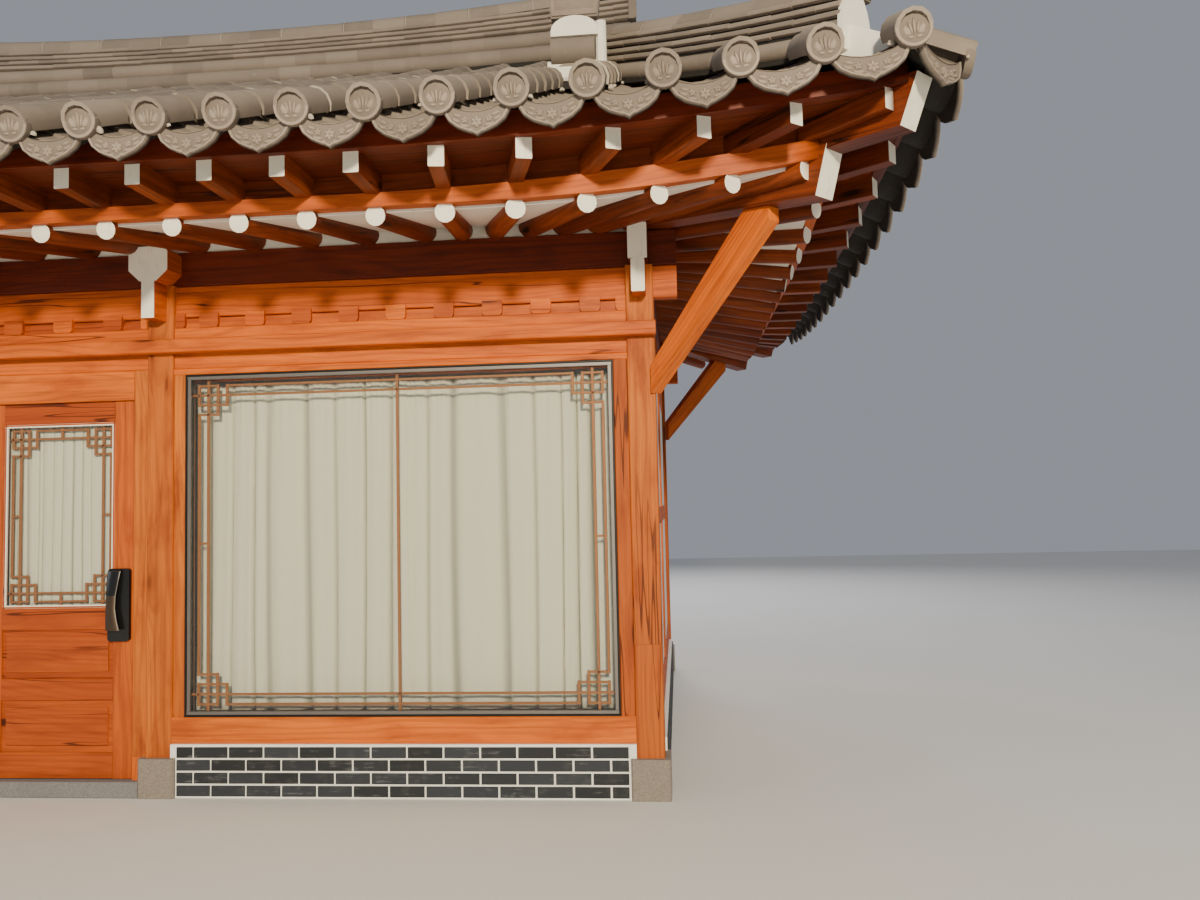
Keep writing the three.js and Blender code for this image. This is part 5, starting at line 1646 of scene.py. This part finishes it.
class HANOK_OT_roof(bpy.types.Operator):
    """Pan tiles, cover tiles and the eave tiles of the four slopes"""

    bl_idname = "hanok.roof"
    bl_label = "Roof tiles"

    def execute(self, context):
        sizes = context.scene.hanok_sizes
        cover = cover_shape(sizes.cover_radius, sizes.cover_length)
        disc = disc_shape(sizes.cover_radius)
        drip = drip_shape(width=0.292, tall=0.132)
        lump = lump_shape()
        for seed, name in enumerate(TURNS):
            slope = Slope(name)
            node = f"{name}_roof"
            thicken(pan_sheet(slope, sizes.pan_step).build(f"{name}_pans", node, "tile", turn=TURNS[name]))
            covers, streaks, dabs = self.columns(slope, sizes, random.Random(seed + 40))
            discs, drips = self.eave_edge(slope)
            for label, shape, places, finish, wobble in (
                ("covers", cover, covers, TILE, 0.012),
                ("discs", disc, discs, PAINTED_LIGHT_TILE, 0.02),
                ("drips", drip, drips, PAINTED_LIGHT_TILE, 0.02),
                ("mortar_streaks", cover, streaks, MORTAR, 0.06),
                ("mortar_dabs", lump, dabs, MORTAR, 0.5),
            ):
                repeat(f"{name}_{label}", (node,), shape, places, finish, wobble, seed + 1)
        self.corners(drip)
        return {"FINISHED"}

    def columns(self, slope, sizes, lots):
        """Covers up the slope, mortar streaks at some joints, and dabs where the covers sit on the pans."""
        covers, streaks, dabs = [], [], []
        streak_share, dab_share, eave_dab_share = 0.12, 0.16, 0.4
        for x in cover_places(slope.half):
            reach = slope.reach(x)
            v = 0.0
            while v < reach - 0.08:
                shown = min(sizes.cover_length, reach - 0.03 - v)
                covers.append(slope.place(x, v, COVER_RISE, (1, shown / sizes.cover_length, 1)))
                if v < reach - 0.10:
                    if v and lots.random() < streak_share:
                        wide = lots.uniform(1.000, 1.010)
                        size = (wide, lots.uniform(0.008, 0.018), wide)
                        streaks.append(slope.place(x, v - 0.012, COVER_RISE, size))
                    for side in (-1, 1):
                        if lots.random() < (dab_share if v else eave_dab_share):
                            size = lots.uniform(0.4, 1.0)
                            foot, up = x + side * sizes.cover_radius * 0.98, v + lots.uniform(0.0, 0.05)
                            dabs.append(slope.place(foot, up, 0.050, (size, size, size)))
                v += sizes.cover_length
        return covers, streaks, dabs

    def eave_edge(self, slope):
        """Discs that close the covers, and drip tiles between them."""
        covers = cover_places(slope.half)
        discs = [slope.place(x, -0.026, COVER_RISE, sag=0.30) for x in covers]
        drips = [slope.place((a + b) / 2, -0.004, 0.010, ((b - a) / COVER_PITCH, 1, 1.06), sag=0.52)
                 for a, b in zip(covers, covers[1:])]
        return discs, drips

    def corners(self, drip):
        x, y = (eave - CORNER_COVER / 2 for eave in (EAVE_X, EAVE_Y))
        z = bed_height(0, CORNER_COVER) + 0.008
        places = []
        for name, signs in CORNERS.items():
            node = name.split("_")[0] + "_roof"
            thicken(corner_pan().build(f"corner_pan_{name}", node, "tile", mirror=signs))
            inward = Vector((-signs[0], signs[1], 0)).normalized()
            spot = Vector((signs[0] * x, -signs[1] * y, z)) - inward * 0.004
            places.append((spot, axes_turn(inward.cross(UP), inward - UP * 0.10), (1.08, 1, 1.06)))
        repeat("corner_drips", ("front_roof", "rear_roof"), drip, places, PAINTED_LIGHT_TILE)


# Ridges

RIDGE_TILE = 0.255
RIDGE_TILE_HALF = 0.100
TUBE_TALL = 0.100
FLAT_TALL = 0.040
FLAT_COURSES = 4
MAIN_END = VERGE_X + 0.030
DESCENT_X = HALF_LENGTH - 0.300
DESCENT_FOOT = HALF_DEPTH + 0.250
DESCENT_HALF = 0.110
HIP_FOOT = 1.000
HIP_HEAD = -0.260
HIP_HALF = 0.100


class RidgeLine:
    """The run of a ridge from its foot: a point at any distance and any share of its height."""

    def __init__(self, length, half, point, tubes, flats):
        self.length = length
        self.half = half
        self.point = point
        self.tubes = tubes
        self.flats = flats

    def course(self, at, size, shift=0.0):
        """Places of the tiles of one course; at gives the course's middle, size the width and height."""
        count = round(self.length / RIDGE_TILE)
        marks = {min(self.length, self.length * (k + shift) / count) for k in range(count + 1)}
        marks = sorted(marks | {0.0, self.length})
        places = []
        for a, b in zip(marks, marks[1:]):
            if b - a > 0.03:
                start, end = at(a), at(b)
                along = (end - start).normalized()
                turn = axes_turn(along.cross(UP), along)
                places.append((start, turn, (size[0], (end - start).length / RIDGE_TILE, size[1])))
        return places

    def band(self, low, high, tall, shift):
        """One course between two shares of the height, of tiles that are tall when unscaled."""
        middle = (low + high) / 2
        rise = self.point(0, high).z - self.point(0, low).z
        size = (self.half / RIDGE_TILE_HALF, rise / tall)
        return self.course(lambda distance: self.point(distance, middle), size, shift)

    def core(self, form, high, half):
        """The bedding inside the courses, up to a share of the height."""
        stations = []
        for share in shares(max(6, round(self.length / 0.16))):
            distance = self.length * share
            low, top = self.point(distance, 0), self.point(distance, high)
            before, after = max(0, distance - 0.02), min(self.length, distance + 0.02)
            across = (self.point(after, 0) - self.point(before, 0)).cross(UP).normalized() * half
            stations.append([low + across, top + across, top - across, low - across])
        # The bedding is painted in shade, darkening the gaps between the courses
        form.loft(stations[::-1], PAINTED_SHADE_TILE)


def main_line():
    """The main ridge, from its left end to its right."""
    def point(distance, share):
        x = distance - MAIN_END
        base = bed_height(EAVE_Y - RIDGE_HALF, EAVE_X - abs(x)) + 0.045
        top = 5.385 + 0.165 * (abs(x) / VERGE_X) ** 2.2
        return Vector((x, 0, base + (top - base) * share))
    return RidgeLine(2 * MAIN_END, RIDGE_HALF, point, ((0.235, 0.405), (0.408, 0.560)), (0.562, 0.806))


def descent_line(signs=(1, 1)):
    """A descending ridge, from its foot up to the main ridge."""
    def point(distance, share):
        y = DESCENT_FOOT - distance
        base = bed_height(EAVE_Y - y, EAVE_X - DESCENT_X) + 0.050
        return Vector((signs[0] * DESCENT_X, -signs[1] * y, base + 0.390 * share))
    return RidgeLine(DESCENT_FOOT - DESCENT_HALF - 0.001, DESCENT_HALF, point, ((0.08, 0.345),), (0.35, 0.80))


def hip_line(signs=(1, 1)):
    """A hip ridge, from the corner of the eave up under the descending ridge."""
    def point(distance, share):
        d = HIP_FOOT - distance / math.sqrt(2)
        base = bed_height(EAVE - d, EAVE - d) + 0.020
        return Vector((signs[0] * (HALF_LENGTH + d), -signs[1] * (HALF_DEPTH + d), base + 0.360 * share))
    return RidgeLine((HIP_FOOT - HIP_HEAD) * math.sqrt(2), HIP_HALF, point, ((0.05, 0.325),), (0.33, 0.79))


def ridge_piece(name, tall, corner, steps):
    """A ridge tile in section: as wide as the ridge, with rounded sides, and a little wider at its foot."""
    form = Form()
    stations = []
    for y, grow in ((RIDGE_TILE * 0.99, 0.97), (-0.004, 1.0)):
        flat = (RIDGE_TILE_HALF - corner) * grow
        side = [(flat + x, z) for x, z in arc(steps, -math.pi / 2, math.pi / 2, corner, tall / 2 * grow)]
        stations.append([(x, y, z) for x, z in side + mirrored(side)])
    form.loft(stations, TILE, smooth=True)
    return shape_of(form, name)


def end_plate(form, base, across, width, height):
    """A ridge end plate on the middle of its foot, with a border and a plain flower figure."""
    half, depth = width / 2, 0.045
    right = [(half * x, height * z) for x, z in ((0.86, 0), (1, 0.45), (0.92, 0.72), (0.55, 0.93))]
    outline = right + [(0, height)] + mirrored(right)
    across = Vector(across)
    front = across.cross(UP)
    # The plate takes the plain tile and its relief the lighter tile, as painted light and shade
    form.prism(outline, base + front * depth / 2, across, depth, TILE)

    def at(point, push):
        return base + across * point[0] + UP * point[1] + front * (depth / 2 + push)

    raised_band(form, at, shrunk(outline, 0.95), shrunk(outline, 0.82), 0.008)
    for k in range(8):
        petal(form, at, (0, height * 0.50), 22.5 + 45 * k, half * 0.55, half * 0.14, 0.009)


def moon(form, middle, across, half, tall, foot, depth):
    """A half round of plaster on a straight foot."""
    outline = [(-half, -foot), (half, -foot)] + arc(10, 0, math.pi, half, tall)
    form.prism(outline, middle, across, depth, PLASTER)


class HANOK_OT_ridges(bpy.types.Operator):
    """Main ridge, descending ridges and hip ridges: courses of tiles on bedding, with end plates"""

    bl_idname = "hanok.ridges"
    bl_label = "Ridges"

    def execute(self, context):
        radius = context.scene.hanok_sizes.cover_radius
        shapes = (ridge_piece("ridge_tube", TUBE_TALL, 0.050, 6),
                  ridge_piece("ridge_flat", FLAT_TALL - 0.013, 0.010, 4), cover_shape(radius, RIDGE_TILE))
        self.tiles("main_ridge", (main_line(),), shapes, radius)
        self.main()
        for name, signs in CORNERS.items():
            node = f"ridge_{name}"
            self.tiles(node, (descent_line(signs), hip_line(signs)), shapes, radius)
            form = Form()
            self.descent_foot(form)
            self.hip_foot(form)
            form.build(f"{node}_foot", node, "tile", mirror=signs)
        return {"FINISHED"}

    def tiles(self, node, lines, shapes, radius):
        tubes, flats, caps, joints = [], [], [], []
        for line in lines:
            for k, (low, high) in enumerate(line.tubes):
                tubes += line.band(low, high, TUBE_TALL, 0.5 * (k % 2))
            low, high = line.flats
            marks = [low + (high - low) * share for share in shares(FLAT_COURSES)]
            for k, (a, b) in enumerate(zip(marks, marks[1:])):
                flats += line.band(a, b, FLAT_TALL, 0.5 * ((k + 1) % 2))
            wide = 1.06
            drop = UP * (radius * wide)
            row = line.course(lambda distance: line.point(distance, 1) - drop, (wide, wide))
            caps += row
            joints += [(spot, turn, (1.072, 0.026, 1.072)) for spot, turn, _ in row[1::2]]
        tube, flat, cap = shapes
        for label, shape, places, finish, wobble, seed in (
            ("tubes", tube, tubes, TILE, 0.005, 0),
            ("flats", flat, flats, TILE, 0.010, 1),
            ("caps", cap, caps, TILE, 0.005, 2),
            ("joints", cap, joints, MORTAR, 0.03, 7),
        ):
            repeat(f"{node}_{label}", (node,), shape, places, finish, wobble, seed)

    def main(self):
        form = Form()
        line = main_line()
        line.core(form, 0.81, 0.072)
        crown = line.point(0, 1).z
        for side in (-1, 1):
            base = Vector((side * (MAIN_END + 0.010), 0, crown - 0.330))
            end_plate(form, base, (0, side, 0), 0.260, 0.460)
        form.build("main_ridge_bedding", "main_ridge", "tile")

    def descent_foot(self, form):
        line = descent_line()
        line.core(form, 0.80, 0.078)
        foot = line.point(0, 0) + UP * 0.212

        def near(*shift):
            return foot + Vector(shift)

        end_plate(form, near(0, -0.012, 0.160), ACROSS, 0.290, 0.400)
        moon(form, near(0, -0.050, 0.085), ACROSS, 0.126, 0.080, 0.030, 0.060)
        form.tube(near(-0.126, -0.012, -0.015), near(0.108, -0.012, -0.015), (0.070, 0.070), 14, TILE, TILE)
        form.bar(near(0.112, -0.030, -0.150), near(0.165, 0.060, 0.140), PLASTER, 0.012)
        form.bar(near(-0.150, -0.020, -0.170), near(0.110, 0.060, -0.060), PLASTER, 0.012)

    def hip_foot(self, form):
        line = hip_line()
        line.core(form, 0.79, 0.076)
        across = Vector((1, 1, 0)).normalized()
        out = Vector((1, -1, 0)).normalized()
        tip = line.point(0, 0)
        end_plate(form, tip + out * 0.004 + UP * 0.280, across, 0.250, 0.270)
        moon(form, tip + out * 0.022 + UP * 0.110, across, 0.104, 0.20, 0.10, 0.030)
        low = -0.02
        stations = []
        for d, half, high in ((0.99, 0.085, 0.170), (1.06, 0.075, 0.130), (1.145, 0.040, 0.085)):
            middle = Vector((HALF_LENGTH + d, -HALF_DEPTH - d, bed_height(EAVE - d, EAVE - d)))
            outline = ((-half, low), (half, low), (half * 0.7, high), (-half * 0.7, high))
            stations.append([middle + across * x + UP * z for x, z in outline])
        form.loft(stations, PLASTER)


def verge_line(half):
    """Points (Y, height) of the pan hollow above a gable."""
    return [(y, bed_height(EAVE_Y - abs(y), VERGE_IN + 0.090)) for y in spread(half, 16)]


class HANOK_OT_gables(bpy.types.Operator):
    """Plastered gables with their barge boards"""

    bl_idname = "hanok.gables"
    bl_label = "Gables"

    def execute(self, context):
        half, foot, under = 1.690, 3.870, 0.034
        wall = [(-half, foot), (half, foot)] + [(y, z - under) for y, z in reversed(verge_line(half))]
        board = verge_line(1.150)
        middle = len(board) // 2
        for name, side in SIDES:
            form = Form()
            across = (0, side, 0)
            form.prism(wall, (side * (VERGE_X - 0.0005), 0, 0), across, 0.0895, PLASTER)
            for low, high, out, thick, finish in ((-0.170, 0.060, 0.040, 0.040, PINE),
                                                  (-0.060, 0.075, 0.055, 0.015, RAFTER_PINE)):
                for run in (board[:middle + 1], board[middle:]):
                    outline = [(y, z + low) for y, z in run] + [(y, z + high) for y, z in reversed(run)]
                    (y0, z0), (y1, z1) = run[0], run[-1]
                    form.prism(outline, (side * (VERGE_X + out), 0, 0), across, thick, finish,
                               grain=(0, side * (y1 - y0), z1 - z0))
            form.build(f"gable_wall_{name}", f"gable_{name}", "plaster")
        return {"FINISHED"}


# Stage


class HANOK_OT_stage(bpy.types.Operator):
    """Pale floor, soft light and the camera"""

    bl_idname = "hanok.stage"
    bl_label = "Stage"

    def execute(self, context):
        scene = context.scene
        self.floor(scene)
        self.world(scene)
        self.light(scene, "key", (5.2, -14.0, 5.4), (0.4, -1.8, 2.2), 1.2, 2350, (1.0, 0.87, 0.62))
        self.light(scene, "fill", (-10.0, -7.0, 5.0), (0.0, 0.0, 1.8), 7.0, 240, (0.92, 0.95, 1.0))
        self.light(scene, "back", (3.0, 11.0, 9.0), (0.0, 0.0, 3.0), 8.0, 900, (0.97, 0.97, 1.0))
        self.camera(scene)
        return {"FINISHED"}

    def floor(self, scene):
        reach = 18
        corners = [(x * reach, y * reach, 0) for x, y in ((-1, -1), (1, -1), (1, 1), (-1, 1))]
        ground = bpy.data.meshes.new("floor")
        ground.from_pydata(corners, [], [(0, 1, 2, 3)])
        ground.materials.append(plain_floor("pale_floor"))
        floor = bpy.data.objects.new("floor", ground)
        scene.collection.objects.link(floor)

    def world(self, scene):
        world = bpy.data.worlds.new("studio")
        world.use_nodes = True
        background = world.node_tree.nodes["Background"]
        background.inputs["Color"].default_value = (0.84, 0.89, 1.0, 1)
        background.inputs["Strength"].default_value = 0.34
        scene.world = world

    def light(self, scene, name, place, aim, size, power, shade):
        lamp = bpy.data.lights.new(name, "AREA")
        lamp.shape = "DISK"
        lamp.size = size
        lamp.energy = power
        lamp.color = shade
        light = bpy.data.objects.new(name, lamp)
        light.location = place
        light.rotation_euler = (Vector(aim) - Vector(place)).to_track_quat("-Z", "Y").to_euler()
        scene.collection.objects.link(light)

    def camera(self, scene):
        lens = bpy.data.cameras.new("camera")
        lens.sensor_width = 36
        lens.lens = 27.06
        camera = bpy.data.objects.new("camera", lens)
        yaw, pitch, roll = math.radians(-4.92), math.radians(3.34), math.radians(-1.32)
        ahead = Vector((math.sin(yaw) * math.cos(pitch), math.cos(yaw) * math.cos(pitch), math.sin(pitch)))
        level = Vector((math.cos(yaw), -math.sin(yaw), 0))
        above = level.cross(ahead)
        right = level * math.cos(roll) + above * math.sin(roll)
        up = above * math.cos(roll) - level * math.sin(roll)
        turn = Matrix((right, up, -ahead)).transposed()
        camera.matrix_world = Matrix.Translation((3.517, -6.740, 1.568)) @ turn.to_4x4()
        scene.collection.objects.link(camera)
        scene.camera = camera


class HANOK_PT_panel(bpy.types.Panel):
    """Lists the pieces of the house"""

    bl_label = "Hanok House"
    bl_idname = "HANOK_PT_panel"
    bl_space_type = "VIEW_3D"
    bl_region_type = "UI"
    bl_category = "Hanok"

    def draw(self, context):
        layout = self.layout
        for group in (context.scene.hanok_sizes, context.scene.hanok_colours):
            for key in group.__annotations__:
                layout.prop(group, key)
        for operator in OPERATORS:
            layout.operator(operator.bl_idname)


OPERATORS = (
    HANOK_OT_stage, HANOK_OT_ground, HANOK_OT_plinths, HANOK_OT_posts, HANOK_OT_bearers, HANOK_OT_beams,
    HANOK_OT_windows, HANOK_OT_walls, HANOK_OT_door, HANOK_OT_eaves, HANOK_OT_hip_rafters, HANOK_OT_roof,
    HANOK_OT_ridges, HANOK_OT_gables,
)
CLASSES = (HanokSizes, HanokColours, *OPERATORS, HANOK_PT_panel)


def register():
    for item in CLASSES:
        bpy.utils.register_class(item)
    bpy.types.Scene.hanok_sizes = bpy.props.PointerProperty(type=HanokSizes)
    bpy.types.Scene.hanok_colours = bpy.props.PointerProperty(type=HanokColours)


def unregister():
    del bpy.types.Scene.hanok_sizes
    del bpy.types.Scene.hanok_colours
    for item in reversed(CLASSES):
        bpy.utils.unregister_class(item)


def main():
    register()
    make_finishes(bpy.context.scene.hanok_colours)
    for operator in OPERATORS:
        group, name = operator.bl_idname.split(".")
        getattr(getattr(bpy.ops, group), name)()


if __name__ == "__main__":
    main()
